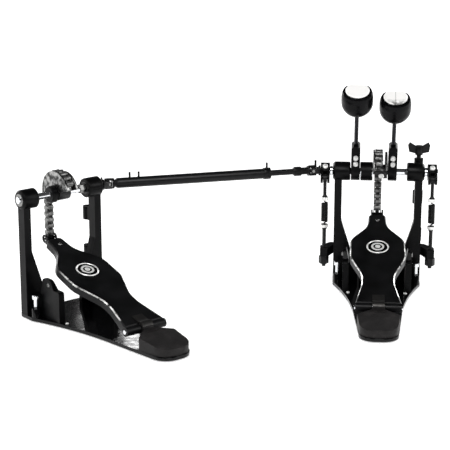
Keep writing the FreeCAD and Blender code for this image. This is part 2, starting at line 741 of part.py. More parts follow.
def chain_link(outer, last_pin=0.0):
    """One link hanging down from the origin: pinned plates, or bushed plates."""
    thickness = value("size.plate_thickness")
    inside = value("size.chain_width") / 2
    gap = value("size.turn_gap")
    start = inside + (thickness + gap if outer else 0)
    solid = link_plate(start).fuse(link_plate(-start - thickness))
    half = start + thickness + (gap if outer else 0)
    for z in (0, -value("size.chain_pitch")):
        reach = last_pin if last_pin and z else half
        radius = value("size.chain_pin") if outer else value("size.chain_bush")
        solid = solid.fuse(Part.makeCylinder(radius, 2 * reach, Vector(-reach, 0, z), X_AXIS))
    if not outer:
        for z in (0, -value("size.chain_pitch")):
            solid = solid.cut(Part.makeCylinder(value("size.chain_pin") + gap, 4 * half,
                                                Vector(-2 * half, 0, z), X_AXIS))
    return solid.removeSplitter()


def chain_node(name, links):
    piece = doc.addObject("Part::Feature", name)
    piece.Shape = Part.makeCompound(links)
    return piece


def placed_link(outer, y, z, tilt, last_pin=0.0):
    link = chain_link(outer, last_pin)
    link.Placement = Placement(Vector(0, y, z), Rotation(X_AXIS, tilt))
    return link


def rim_link(outer, step):
    """Link on the cam whose lower pin stands the given number of steps above the axle's level."""
    upper = math.radians((step + 1) * LINK_STEP)
    return placed_link(outer, PITCH_RADIUS * math.cos(upper),
                       value(AXLE) + PITCH_RADIUS * math.sin(upper), (step + 0.5) * LINK_STEP)


def chain(prefix, place):
    last_step = LEAVING_LINKS + int(value("size.wrap_links"))
    wrap = [rim_link(step % 2 == 0, step) for step in range(LEAVING_LINKS, last_step)]
    finish(prefix + "_chain_wrap", chain_node(prefix + "_chain_wrap", wrap), place)
    finish(prefix + "_chain_link_upper", chain_node(prefix + "_upper", [rim_link(False, 1)]), place)
    finish(prefix + "_chain_link_lower", chain_node(prefix + "_lower", [rim_link(True, 0)]), place)
    pin_reach = value(f"{CLEVIS_OUT} + size.turn_gap")
    count = int(value("size.drop_links"))
    drop = [placed_link(k % 2 == 1, PITCH_RADIUS, value(AXLE) - k * value("size.chain_pitch"), 0,
                        pin_reach if k == count - 1 else 0) for k in range(count)]
    finish(prefix + "_chain_drop", chain_node(prefix + "_drop", drop), place)


def cam(name):
    """Crescent cam between two side plates, with its hub and the pin that anchors the chain."""
    def sector(part, radius, width, start=None):
        piece = doc.addObject("Part::Cylinder", name + part)
        bind(piece, Radius=radius, Height=width, Angle="size.cam_sweep_angle")
        turn = Rotation(X_AXIS, value("size.cam_start_angle") + 90).multiply(TURN["X"])
        return seat(piece, start or f"-({width}) / 2", "0", AXLE, turn)

    rim_in = f"({RIM_RADIUS} - size.rim_wall)"
    hollow = cylinder(name + "_hollow", rim_in, "2 * size.rim_width",
                      "-size.rim_width", "0", AXLE, "X")
    rim = cut(name + "_rim", sector("_rim_solid", RIM_RADIUS, "size.rim_width"), [hollow])
    ridge = sector("_ridge", RIDGE_RADIUS, "size.chain_width - 2 * size.ridge_side")
    ridge = cut(name + "_ridge_ring", ridge, [cylinder(
        name + "_ridge_hollow", f"{RIM_RADIUS} - size.fit_gap", "size.rim_width",
        "-size.rim_width / 2", "0", AXLE, "X")])
    web = sector("_web", f"{rim_in} + size.fit_gap", "size.cam_web")
    plate = sector("_plate", "size.cam_plate_radius", "size.cam_plate", "-size.rim_width / 2 - size.cam_plate")
    flange = sector("_flange", "size.cam_flange_radius", "size.cam_flange", "size.cam_hub_end - size.cam_flange")
    hub = cylinder(name + "_hub", "size.cam_hub_radius", "size.cam_hub_end + size.rim_width / 2",
                   "-size.rim_width / 2", "0", AXLE, "X")
    angle = math.radians((LEAVING_LINKS + value("size.wrap_links")) * LINK_STEP)
    y = PITCH_RADIUS * math.cos(angle)
    z = value(AXLE) + PITCH_RADIUS * math.sin(angle)
    half = "(size.chain_width / 2 + size.plate_thickness + size.turn_gap + size.plate_thickness)"
    anchor = cylinder(name + "_anchor", "size.chain_pin", f"2 * {half}", f"-{half}", str(y), str(z), "X")
    cheeks = []
    for side in (1, -1):
        start = f"{half} - size.plate_thickness" if side > 0 else f"-{half}"
        reach = PITCH_RADIUS + value(PLATE_RADIUS)
        inner = value(rim_in)
        cheek = doc.addObject("Part::Box", name + "_cheek")
        bind(cheek, Length="size.plate_thickness", Width="2 * size.plate_waist")
        cheek.Height = reach - inner
        turn = Rotation(X_AXIS, math.degrees(angle) - 90)
        corner = turn.multVec(Vector(0, -value("size.plate_waist"), inner))
        seat(cheek, start, str(corner.y), f"{AXLE} + {corner.z}", turn)
        cheeks.append(cheek)
    bore = cylinder(name + "_bore", "size.axle_radius + size.fit_gap", "4 * size.rim_width",
                    "-2 * size.rim_width", "0", AXLE, "X")
    return cut(name, fuse(name + "_blank", [rim, ridge, web, plate, flange, hub, anchor] + cheeks), [bore])


def beater_place(x):
    return Placement(Vector(value(x), 0, value(AXLE)), Rotation(X_AXIS, value("size.beater_lean_angle")))


HUB_BOLTS = ("size.hub_bolt_low", "size.hub_bolt_low + size.hub_bolt_step")


def beater_hub(name, x):
    """Clamp hub standing up along the beater rod, bored for the axle and the rod."""
    ring = cylinder(name + "_ring", "size.hub_radius", "size.hub_width", "-size.hub_width / 2",
                    "0", "0", "X")
    stem = padded(name + "_stem", "YZ_Plane", mirrored([
        ("size.hub_root / 2", "0"), ("size.hub_crown / 2", "size.hub_rise")][::-1]),
        "size.hub_width", midplane=True)
    crest = [f"Edge{i}" for i, edge in enumerate(stem.Shape.Edges, start=1)
             if all(abs(v.Z - value("size.hub_rise")) < 1e-4 and abs(v.X - edge.Vertexes[0].X) < 1e-4
                    for v in edge.Vertexes)]
    chamfer(stem, crest, "size.hub_taper")
    holes = [cylinder(name + "_axle_bore", "size.axle_radius + size.fit_gap", "2 * size.hub_width",
                      "-size.hub_width", "0", "0", "X"),
             cylinder(name + "_rod_bore", "size.rod_radius + size.turn_gap", "size.hub_rise",
                      "0", "0", "size.axle_radius")]
    for z in HUB_BOLTS:
        holes.append(cylinder(name + "_bolt_hole", "size.key_bolt_radius + size.fit_gap",
                              "size.hub_root", "0", "-size.hub_root", z, "Y"))
    return finish(name, cut(name, fuse(name + "_blank", [ring, stem]), holes), beater_place(x))


def hub_bolts(name, x):
    """Two key bolts on the player's side of a hub, their tips just off the rod."""
    bolts = []
    for z in HUB_BOLTS:
        low = f"({z} - size.key_head_radius)"
        face = f"(size.hub_root / 2 + (size.hub_crown - size.hub_root) / 2 * {low} / size.hub_rise)"
        shank = cylinder(name + "_shank", "size.key_bolt_radius",
                         f"{face} - size.rod_radius - size.running_gap", "0", f"-{face}", z, "Y")
        head = cylinder(name + "_head", "size.key_head_radius", "size.key_head_rise", "0",
                        f"-{face} - size.key_head_rise", z, "Y")
        bolts.append(fuse(name + "_bolt", [shank, head]))
    return finish(name, group(name, bolts), beater_place(x))


def beater(prefix, x, reach):
    place = beater_place(x)
    rod = cylinder(prefix + "_rod_bar", "size.rod_radius",
                   f"{reach} + size.head_socket - size.rod_start", "0", "0", "size.rod_start")
    finish(prefix + "_beater_rod", group(prefix + "_rod", [rod]), place)
    crown = f"({reach} + size.head_stretch)"
    bowl = doc.addObject("Part::Sphere", prefix + "_bowl")
    bind(bowl, Radius="size.head_radius", Angle2="0")
    seat(bowl, "0", "0", reach)
    girth = cylinder(prefix + "_girth", "size.head_radius", "size.head_stretch", "0", "0", reach)
    shoulder = doc.addObject("Part::Sphere", prefix + "_shoulder")
    bind(shoulder, Radius="size.head_radius", Angle1="0", Angle2="asin(size.head_flat / size.head_radius)")
    seat(shoulder, "0", "0", crown)
    socket = cylinder(prefix + "_socket", "size.rod_radius + size.fit_gap",
                      "size.head_radius + size.head_socket + size.fit_gap", "0", "0",
                      f"{reach} - size.head_radius")
    half = "size.head_radius"
    face = box(prefix + "_face", f"-{half}", half, "size.head_face", half,
               f"{reach} - {half}", f"{crown} + {half}")
    blank = fuse(prefix + "_head_blank", [bowl, girth, shoulder])
    finish(prefix + "_beater_head", cut(prefix + "_head", blank, [socket, face]), place)
    disc = turned(prefix + "_cap_disc", "Z", [
        ("0", "0"), ("size.cap_radius", "0"), ("size.cap_radius", "size.cap_thickness - size.cap_bevel"),
        ("size.cap_radius - size.cap_bevel", "size.cap_thickness"), ("0", "size.cap_thickness")])
    seat(disc, "0", "size.cap_offset", f"{crown} + size.head_flat")
    finish(prefix + "_beater_cap", cut(prefix + "_cap", disc, [face]), place)


CUP_START = f"({SECONDARY_X} + size.hub_width / 2 + size.cup_gap)"
CUP_END = "(-size.rim_width / 2 - size.cam_side)"
CUP_FLOOR = f"({CUP_END} - size.cup_floor)"


def main_axle(name):
    cup_bore = "size.axle_radius + size.running_gap"
    end = f"{SPRING_X} + size.rocker_width / 2 + size.axle_stub"
    body = turned(name, "X", [
        (CUP_FLOOR, "0"), (end, "0"), (end, "size.axle_radius"), (CUP_END, "size.axle_radius"),
        (CUP_END, "size.cup_radius"), (CUP_START, "size.cup_radius"),
        (CUP_START, cup_bore), (CUP_FLOOR, cup_bore)])
    return seat(body, "0", "0", AXLE)


def yoke(name, horizontal, pin_hole, facing):
    """Fork round the joint centre at the origin, its back on the given side along X."""
    back = f"-{facing} * {YOKE_LENGTH}"
    face = f"-{facing} * size.yoke_throat"
    low, high = (back, face) if facing > 0 else (face, back)
    disc = cylinder(name + "_disc", "size.yoke_half", f"({high}) - ({low})", low, "0", "0", "X")
    solids = [disc]
    tip_low, tip_high = (face, "0") if facing > 0 else ("0", face)
    for side in (1, -1):
        inner = "size.yoke_half - size.yoke_arm"
        start = inner if side > 0 else "-size.yoke_half"
        stop = "size.yoke_half" if side > 0 else f"-({inner})"
        across = ("-size.yoke_tip", "size.yoke_tip")
        if horizontal:
            solids.append(box(name + "_arm", tip_low, tip_high, start, stop, *across))
            solids.append(cylinder(name + "_tip", "size.yoke_tip", "size.yoke_arm", "0", start, "0", "Y"))
        else:
            solids.append(box(name + "_arm", tip_low, tip_high, *across, start, stop))
            solids.append(cylinder(name + "_tip", "size.yoke_tip", "size.yoke_arm", "0", "0", start))
    around = cylinder(name + "_round", "sqrt(size.yoke_half ^ 2 + size.yoke_tip ^ 2) - size.yoke_trim",
                      "4 * size.yoke_half", "-2 * size.yoke_half", "0", "0", "X")
    trimmed = doc.addObject("Part::Common", name + "_trim")
    trimmed.Base = fuse(name + "_blank", solids)
    trimmed.Tool = around
    spots = ("0", "-2 * size.yoke_half", "0", "Y") if horizontal else ("0", "0", "-2 * size.yoke_half", "Z")
    hole = cylinder(name + "_hole", f"size.cross_pin + {pin_hole}", "4 * size.yoke_half", *spots)
    return cut(name, trimmed, [hole])


def cross(name):
    """Joint cross: a core with a pin through it each way."""
    core = box(name + "_core", *(f"-{CROSS_HALF}", CROSS_HALF) * 3)
    reach = "size.yoke_half - size.running_gap"
    pins = [cylinder(name + "_pin_y", "size.cross_pin", f"2 * ({reach})", "0", f"-({reach})", "0", "Y"),
            cylinder(name + "_pin_z", "size.cross_pin", f"2 * ({reach})", "0", "0", f"-({reach})", "Z")]
    trimmed = doc.addObject("Part::Common", name + "_trim")
    trimmed.Base = core
    ball = doc.addObject("Part::Sphere", name + "_ball")
    bind(ball, Radius="size.cross_round")
    trimmed.Tool = ball
    return fuse(name, [trimmed] + pins)


ROCKER_DROP = math.radians(value("size.rocker_drop_angle"))


def rocker(name, side):
    """Lever on the axle end, forked for the spring hanger, in the axle's frame."""
    middle = f"{side} * {SPRING_X}"
    left = f"{middle} - size.rocker_width / 2"
    pin_y = f"(-size.rocker_arm * {math.cos(ROCKER_DROP)})"
    pin_z = f"(-size.rocker_arm * {math.sin(ROCKER_DROP)})"
    ring = cylinder(name + "_ring", "size.rocker_radius", "size.rocker_width", left, "0", "0", "X")
    eye = cylinder(name + "_eye", "size.rocker_eye", "size.rocker_width", left, pin_y, pin_z, "X")
    arm = doc.addObject("Part::Box", name + "_arm")
    bind(arm, Length="size.rocker_width", Width="size.rocker_arm", Height="2 * size.rocker_eye")
    turn = Rotation(X_AXIS, value("size.rocker_drop_angle"))
    corner = turn.multVec(Vector(0, -value("size.rocker_arm"), -value("size.rocker_eye")))
    seat(arm, left, str(corner.y), str(corner.z), turn)
    slot = doc.addObject("Part::Box", name + "_slot")
    fork = "(size.eye_width + 2 * size.slot_side)"
    bind(slot, Length=fork, Width="2 * size.rocker_arm", Height="4 * size.rocker_eye")
    clear = value("size.rocker_arm - size.eye_radius - size.slot_gap")
    corner = turn.multVec(Vector(0, -clear - 2 * value("size.rocker_arm"), -2 * value("size.rocker_eye")))
    seat(slot, f"{middle} - {fork} / 2", str(corner.y), str(corner.z), turn)
    bore = cylinder(name + "_bore", "size.axle_radius + size.fit_gap", "2 * size.rocker_width",
                    f"{middle} - size.rocker_width", "0", "0", "X")
    pin = cylinder(name + "_pin", "size.rocker_pin", "size.rocker_width", left, pin_y, pin_z, "X")
    forked = cut(name + "_fork", fuse(name + "_blank", [ring, eye, arm]), [slot, bore])
    piece = fuse(name, [forked, pin])
    return finish(name, piece, Placement(Vector(0, 0, value(AXLE)), Rotation()))


HANGER_Y = -value("size.rocker_arm") * (1 + math.cos(ROCKER_DROP)) / 2
HANGER_Z = value(AXLE) - value("size.rocker_arm") * math.sin(ROCKER_DROP)
SPRING_TOP = f"({HANGER_Z} - size.hanger_length)"
SPRING_FOOT = f"({SPRING_TOP} - size.spring_length)"
BRACKET_TOP = f"({SPRING_FOOT} - size.tension_reach)"
BRACKET_FOOT = f"({BRACKET_TOP} - size.bracket_depth)"
NUT_FOOT = f"({BRACKET_FOOT} - size.running_gap - size.nut_rise)"


def hanger(name, side):
    """Eye on the rocker pin, with the rod and cap that hold the spring's top."""
    middle = f"{side} * {SPRING_X}"
    rod = turned(name + "_rod", "Z", [
        ("0", SPRING_TOP), ("size.spring_cap_radius", SPRING_TOP),
        ("size.spring_cap_radius", f"{SPRING_TOP} + size.spring_cap_rim"),
        ("size.hanger_radius", f"{SPRING_TOP} + size.spring_cap_rise"),
        ("size.hanger_radius", str(HANGER_Z)), ("0", str(HANGER_Z))])
    seat(rod, middle, str(HANGER_Y), "0")
    eye = cylinder(name + "_ring", "size.eye_radius", "size.eye_width",
                   f"{middle} - size.eye_width / 2", str(HANGER_Y), str(HANGER_Z), "X")
    hole = cylinder(name + "_hole", "size.rocker_pin + size.eye_play", "2 * size.eye_width",
                    f"{middle} - size.eye_width", str(HANGER_Y), str(HANGER_Z), "X")
    return finish(name, cut(name, fuse(name + "_blank", [rod, eye]), [hole]))


def tension_rods(name):
    foot = f"{NUT_FOOT} - size.tension_rod_stub"
    rods = []
    for side in (1, -1):
        rod = turned(name + "_rod", "Z", [
            ("0", foot), ("size.tension_rod", foot),
            ("size.tension_rod", f"{SPRING_FOOT} - size.spring_cap_rise"),
            ("size.spring_cap_radius", f"{SPRING_FOOT} - size.spring_cap_rim"),
            ("size.spring_cap_radius", SPRING_FOOT), ("0", SPRING_FOOT)])
        rods.append(seat(rod, f"{side} * {SPRING_X}", str(HANGER_Y), "0"))
    return finish(name, group(name, rods))


def spring_brackets(name):
    arms = []
    for side in (1, -1):
        def x(text):
            return f"{side} * ({text})"
        near = str(HANGER_Y + value("size.nut_radius"))
        far = str(HANGER_Y - value("size.nut_radius"))
        blank = padded(name + "_arm", "XY_Plane", [
            (x(POST_OUT), "size.post_depth / 2"), (x(f"{POST_OUT} + size.post_width / 2"), "size.post_depth / 2"),
            (x(f"{SPRING_X} + size.bracket_margin"), near), (x(f"{SPRING_X} + size.bracket_margin"), far),
            (x(f"{SPRING_X} - size.bracket_margin"), far), (x(POST_OUT), "-size.post_depth / 2")],
            "size.bracket_depth", BRACKET_FOOT)
        hole = cylinder(name + "_hole", "size.tension_rod + size.turn_gap", BRACKET_TOP,
                        x(SPRING_X), str(HANGER_Y), "0")
        arms.append(cut(name + "_bored", blank, [hole]))
    return finish(name, group(name, arms))


def tension_nut(name, side):
    nut = doc.addObject("Part::Prism", name + "_hex")
    nut.Polygon = 6
    bind(nut, Circumradius="size.nut_radius", Height="size.nut_rise")
    x = f"{side} * {SPRING_X}"
    seat(nut, x, str(HANGER_Y), NUT_FOOT)
    hole = cylinder(name + "_hole", "size.tension_rod + size.turn_gap", BRACKET_FOOT, x,
                    str(HANGER_Y), "0")
    return finish(name, cut(name, nut, [hole]))


def biarc(start, heading, end, leaving):
    """Two tangent arcs from one directed point to another."""
    span = end - start
    both_ways = heading + leaving
    bend = 2 * (1 - heading.dot(leaving))
    along = span.dot(both_ways)
    reach = (-along + math.sqrt(along ** 2 + bend * span.dot(span))) / bend
    joint = (start + end + (heading - leaving) * reach) * 0.5
    edges = []
    for point, direction, target in ((start, heading, joint), (end, leaving * -1, joint)):
        chord = target - point
        run = chord.Length
        unit = chord * (1 / run)
        rise = direction - unit * direction.dot(unit)
        angle = math.atan2(rise.Length, direction.dot(unit))
        crown = point + chord * 0.5 + rise * (math.tan(angle / 2) * run / 2 / rise.Length)
        edges.append(Part.Arc(point, crown, target).toShape() if point is start
                     else Part.Arc(target, crown, point).toShape())
    return edges


def spring(name, side):
    """Extension spring: one wire wound in quarter turns, its ends square to the two caps."""
    wire = value("size.spring_wire")
    coil = value("size.spring_coil")
    foot = value(SPRING_FOOT)
    top = value(SPRING_TOP)
    lead = 2 * wire
    bend = 3 * wire
    coiled = top - foot - 2 * (lead + bend)
    quarters = 4 * int(coiled / (2 * wire + value("size.spring_gap")))
    climb = coiled / quarters
    pitch_angle = math.atan2(climb, coil * math.pi / 2)

    def station(k):
        angle = k * math.pi / 2
        point = Vector(coil * math.cos(angle), coil * math.sin(angle), foot + lead + bend + k * climb)
        heading = Vector(-math.sin(angle) * math.cos(pitch_angle),
                         math.cos(angle) * math.cos(pitch_angle), math.sin(pitch_angle))
        return point, heading

    first, first_heading = station(0)
    last, last_heading = station(quarters)
    entry = Vector(first.x, first.y - bend, foot + lead)
    leave = Vector(last.x, last.y + bend, top - lead)
    edges = [Part.LineSegment(Vector(entry.x, entry.y, foot), entry).toShape()]
    edges += biarc(entry, Z_AXIS, first, first_heading)
    gaps = []
    for k in range(quarters):
        edges += biarc(*station(k), *station(k + 1))
        for later in range(k + 3, quarters):
            gaps.append(station(k)[0].distanceToPoint(station(later)[0]) - 2 * wire)
    edges += biarc(last, last_heading, leave, Z_AXIS)
    edges.append(Part.LineSegment(leave, Vector(leave.x, leave.y, top)).toShape())
    path = Part.Wire(edges)
    ring = Part.Wire([Part.makeCircle(wire, Vector(entry.x, entry.y, foot), Z_AXIS)])
    sweep = Part.BRepOffsetAPI.MakePipeShell(path)
    sweep.add(ring)
    sweep.build()
    sweep.makeSolid()
    piece = doc.addObject("Part::Feature", name)
    piece.Shape = sweep.shape()
    expected = math.pi * wire ** 2 * path.Length
    print(name, "least gap between turns", round(min(gaps), 3), "mm, volume",
          round(piece.Shape.Volume, 2), "of", round(expected, 2))
    piece.Placement = Placement(Vector(side * value(SPRING_X), HANGER_Y, 0), Rotation())
    return finish(name, piece)


def clamp_parts():
    foot = f"({CLAMP_TOP} + size.wing_stem)"
    rod = turned("clamp_rod_bar", "Z", [
        ("0", CLAMP_TIP), ("size.clamp_tip_radius", CLAMP_TIP),
        ("size.clamp_screw_radius", f"{CLAMP_TIP} + size.clamp_screw_radius"),
        ("size.clamp_screw_radius", foot), ("0", foot)])
    seat(rod, "size.post_offset", "size.clamp_screw_y", "0")
    finish("clamp_screw", group("clamp_rod", [rod]))
    stem = cylinder("wing_stem", "size.wing_stem", "size.wing_stem_rise", "size.post_offset",
                    "size.clamp_screw_y", foot)
    right_wing = [(f"size.wing_{spot}", f"{foot} + size.wing_{rise}") for spot, rise in (
        ("notch", "notch_rise"), ("crown", "rise"), ("tip", "tip_rise"), ("flank", "flank_rise"),
        ("root", "root_rise"))]
    wings = padded("wing_plate", "XZ_Plane", mirrored(right_wing), "size.wing_thickness", midplane=True)
    seat(wings, "size.post_offset", "size.clamp_screw_y", "0")
    finish("wing_head", fuse("wing", [stem, wings]))

    width = "size.jaw_width / 2"
    top = f"({JAW_FOOT} + size.jaw_rise)"
    bar = box("jaw_bar", f"-{width}", width, "size.jaw_pivot_y", "size.jaw_front", JAW_FOOT, top)
    arm_near = "(size.clamp_screw_y - size.jaw_arm_depth / 2)"
    arm = box("jaw_arm", "0", "size.post_offset + size.jaw_arm_depth / 2", arm_near,
              f"{arm_near} + size.jaw_arm_depth", JAW_FOOT, JAW_ARM_TOP)
    knuckle = cylinder("jaw_knuckle", "size.jaw_lug", f"2 * {width}", f"-{width}",
                       "size.jaw_pivot_y", JAW_PIVOT_Z, "X")
    web = box("jaw_web", f"-{width}", width, "size.jaw_pivot_y", "size.jaw_pivot_y + size.jaw_lug",
              JAW_PIVOT_Z, top)
    hole = cylinder("jaw_hole", "size.jaw_pin + size.turn_gap", "4 * size.jaw_width",
                    "-2 * size.jaw_width", "size.jaw_pivot_y", JAW_PIVOT_Z, "X")
    finish("hoop_clamp_jaw", cut("jaw", fuse("jaw_blank", [bar, arm, knuckle, web]), [hole]))
    pad = box("jaw_pad", f"-{width}", width, "size.jaw_front - size.jaw_pad_depth", "size.jaw_front",
              f"{JAW_FOOT} - size.jaw_pad", JAW_FOOT)
    finish("hoop_clamp_pad", group("jaw_pads", [pad]))


def pedal(prefix, place, with_clamp):
    """Pieces that the two pedals share."""
    finish(prefix + "_base_plate", base_plate(prefix + "_base", with_clamp), place)
    finish(prefix + "_rubber_pads", rubber_pads(prefix + "_pads"), place)
    finish(prefix + "_left_post", post(prefix + "_post_l", -1), place)
    finish(prefix + "_right_post", post(prefix + "_post_r", 1, with_clamp), place)
    finish(prefix + "_bearings", bearings(prefix + "_bearing"), place)
    finish(prefix + "_pins_and_spurs", pins_and_spurs(prefix + "_pins", with_clamp), place)
    finish(prefix + "_heel_plate", heel_plate(prefix + "_heel"), place)
    board_place = place.multiply(BOARD_PLACE)
    finish(prefix + "_footboard", footboard(prefix + "_board"), board_place)
    finish(prefix + "_toe_clevis", toe_clevis(prefix + "_clevis"), board_place)
    finish(prefix + "_cam", cam(prefix + "_cam_piece"), place)
    chain(prefix, place)


def drive_line(slave_place):
    """Telescopic shaft between the joint centres, with its yokes, crosses and key screws."""
    start = slave_place.multVec(Vector(value(SLAVE_JOINT), 0, value(AXLE)))
    finish_point = Vector(-value(MAIN_JOINT), 0, value(AXLE))
    run = finish_point - start
    angle = math.degrees(math.atan2(run.y, run.x))
    place = Placement(start, Rotation(Z_AXIS, angle))
    far = run.Length

    end = str(far - value("size.tube_stop"))
    tube = turned("tube_shell", "X", [
        (TUBE_START, "0"), ("size.tube_wall_end", "0"), ("size.tube_wall_end", TUBE_BORE),
        (end, TUBE_BORE), (end, "size.collar_radius"),
        (f"{end} - size.collar_length", "size.collar_radius"),
        (f"{end} - size.collar_length", "size.tube_radius"),
        (f"{TUBE_START} + size.yoke_back", "size.tube_radius"),
        (TUBE_START, "size.tube_radius - size.yoke_back / 2")])
    neck = cylinder("tube_neck", TUBE_BORE, f"{TUBE_START} - size.yoke_throat",
                    "size.yoke_throat", "0", "0", "X")
    finish("drive_tube", fuse("tube", [tube, neck, yoke("tube_yoke", False, "size.running_gap", -1)]), place)

    reach = str(far - value("size.coupling_gap"))
    bar = cylinder("rod_bar", "size.inner_rod_radius", f"{reach} - size.inner_rod_start",
                   "size.inner_rod_start", "0", "0", "X")
    coupling = turned("rod_coupling", "X", [
        (f"{reach} - size.coupling_length", "0"), (reach, "0"),
        (reach, "size.coupling_radius - size.fit_gap"),
        (f"{reach} - size.yoke_back", "size.coupling_radius"),
        (f"{reach} - size.coupling_length + size.yoke_back", "size.coupling_radius"),
        (f"{reach} - size.coupling_length", "size.inner_rod_radius")])
    neck = cylinder("rod_neck", TUBE_BORE, "size.coupling_gap - size.yoke_throat", reach,
                    "0", "0", "X")
    fork = yoke("rod_yoke", False, "size.running_gap", 1)
    fork.Placement = Placement(Vector(far, 0, 0), Rotation())
    finish("drive_rod", fuse("rod", [bar, coupling, neck, fork]), place)

    finish("slave_joint_cross", cross("slave_cross"), slave_place.multiply(
        Placement(Vector(value(SLAVE_JOINT), 0, value(AXLE)), Rotation())))
    finish("main_joint_cross", cross("main_cross"), Placement(finish_point, Rotation()))

    screws = [cylinder("tube_screw", "size.drive_bolt_radius", "size.drive_bolt_rise", x, "0",
                       "size.tube_radius + size.fit_gap")
              for x in (f"{TUBE_START} + size.drive_bolt_a", f"{TUBE_START} + size.drive_bolt_b")]
    screws.append(cylinder("collar_screw", "size.drive_bolt_radius", "size.drive_bolt_rise",
                           f"{end} - size.collar_length / 2", "0", "size.collar_radius + size.fit_gap"))
    finish("drive_tube_screws", group("tube_screws", screws), place)


main_place = Placement()
slave_place = Placement(Vector(value("size.slave_x"), value("size.slave_y"), 0),
                        Rotation(Z_AXIS, value("size.slave_yaw_angle")))

pedal("main", main_place, True)
pedal("slave", slave_place, False)
clamp_parts()

finish("main_axle", main_axle("main_axle_bar"))
beater_hub("primary_hub", PRIMARY_X)
hub_bolts("primary_hub_bolts", PRIMARY_X)
beater("primary", PRIMARY_X, "size.primary_reach")
rocker("right_rocker", 1)
hanger("right_spring_hanger", 1)
spring("right_spring", 1)
tension_nut("right_tension_nut", 1)

shaft_nose = f"{CUP_FLOOR} - size.running_gap"
shaft_end = f"-({MAIN_JOINT} - size.yoke_throat - size.yoke_back / 2)"
shaft = seat(turned("secondary_bar", "X", [
    (shaft_nose, "0"), (shaft_end, "0"), (shaft_end, "size.axle_radius"),
    (shaft_nose, "size.axle_radius")]), "0", "0", AXLE)
shaft_yoke = yoke("secondary_yoke", True, "size.turn_gap", -1)
shaft_yoke.Placement = Placement(Vector(-value(MAIN_JOINT), 0, value(AXLE)), Rotation())
finish("secondary_shaft", fuse("secondary", [shaft, shaft_yoke]))
beater_hub("secondary_hub", SECONDARY_X)
hub_bolts("secondary_hub_bolts", SECONDARY_X)
beater("secondary", SECONDARY_X, "size.secondary_reach")
rocker("left_rocker", -1)
hanger("left_spring_hanger", -1)
spring("left_spring", -1)
tension_nut("left_tension_nut", -1)

spring_brackets("spring_brackets")
tension_rods("spring_tension_rods")

slave_end = f"{SLAVE_JOINT} - size.yoke_throat - size.yoke_back / 2"
slave_start = f"-{HOUSING_OUT} - size.axle_stub"
slave_bar = seat(turned("slave_bar", "X", [
    (slave_start, "0"), (slave_end, "0"), (slave_end, "size.axle_radius"),
    (slave_start, "size.axle_radius")]), "0", "0", AXLE)
slave_yoke = yoke("slave_yoke", True, "size.turn_gap", 1)
slave_yoke.Placement = Placement(Vector(value(SLAVE_JOINT), 0, value(AXLE)), Rotation())
finish("slave_axle", fuse("slave_shaft", [slave_bar, slave_yoke]), slave_place)
drive_line(slave_place)

doc.recompute()
for item in doc.Objects:
    if any(word in item.State for word in ("Invalid", "Error")):
        raise RuntimeError(f"{item.Label} did not recompute: {item.State} {item.getStatusString()}")
for piece in parts:
    if piece.Shape.isNull() or not piece.Shape.isValid():
        raise RuntimeError(f"{piece.Label} has no valid shape")

os.makedirs("parts", exist_ok=True)
for piece in parts:
    piece.Shape.exportStep(os.path.join("parts", piece.Label + ".step"))
print(len(parts), "sub-parts written; board slope", round(BOARD_SLOPE, 3), "pitch radius",
      round(PITCH_RADIUS, 3), "hanger y", round(HANGER_Y, 3), "z", round(HANGER_Z, 3))
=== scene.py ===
"""Double bass drum pedal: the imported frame, dressed with its finishes, springs, badges and small fittings."""

import json
import math

import bmesh
import bpy
from bpy.props import FloatProperty, FloatVectorProperty, IntProperty, PointerProperty
from mathutils import Matrix, Vector


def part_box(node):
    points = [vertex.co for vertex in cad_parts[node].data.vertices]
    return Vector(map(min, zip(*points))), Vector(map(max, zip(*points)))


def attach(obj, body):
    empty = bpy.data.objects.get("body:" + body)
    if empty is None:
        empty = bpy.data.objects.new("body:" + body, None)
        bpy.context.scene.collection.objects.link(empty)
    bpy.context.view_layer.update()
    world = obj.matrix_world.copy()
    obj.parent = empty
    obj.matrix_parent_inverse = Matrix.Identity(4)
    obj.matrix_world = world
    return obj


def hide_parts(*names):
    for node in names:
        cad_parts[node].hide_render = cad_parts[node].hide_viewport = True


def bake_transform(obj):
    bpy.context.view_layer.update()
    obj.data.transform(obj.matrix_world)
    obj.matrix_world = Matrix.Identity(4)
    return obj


bl_info = {
    "name": "Double Bass Drum Pedal",
    "version": (1, 0, 0),
    "blender": (4, 5, 0),
    "location": "View3D > Sidebar > Pedal",
    "description": "Dresses the packed double bass drum pedal with its finishes and fittings",
    "category": "Object",
}

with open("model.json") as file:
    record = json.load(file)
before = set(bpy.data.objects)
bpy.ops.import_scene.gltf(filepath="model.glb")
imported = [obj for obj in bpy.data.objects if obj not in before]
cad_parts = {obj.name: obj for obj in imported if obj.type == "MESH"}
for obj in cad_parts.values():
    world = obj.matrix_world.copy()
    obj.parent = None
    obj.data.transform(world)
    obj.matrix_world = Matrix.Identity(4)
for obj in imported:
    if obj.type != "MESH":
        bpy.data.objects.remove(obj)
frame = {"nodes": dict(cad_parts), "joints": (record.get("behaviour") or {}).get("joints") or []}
NODES = frame["nodes"]
JOINTS = {joint["name"]: joint for joint in frame["joints"]}
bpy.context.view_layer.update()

MM = 0.001
HINGE = Vector(JOINTS["main_footboard_hinge"]["pos_m"])
AXLE = Vector(JOINTS["main_axle_turn"]["pos_m"])
SLAVE_HINGE = Vector(JOINTS["slave_footboard_hinge"]["pos_m"])
SLAVE_AXLE = Vector(JOINTS["slave_axle_turn"]["pos_m"])
SLAVE_WAY = (SLAVE_AXLE - SLAVE_HINGE).to_2d()
SLAVE_TURN = math.atan2(SLAVE_WAY.y, SLAVE_WAY.x) - math.pi / 2
MAIN = Matrix.Identity(4)
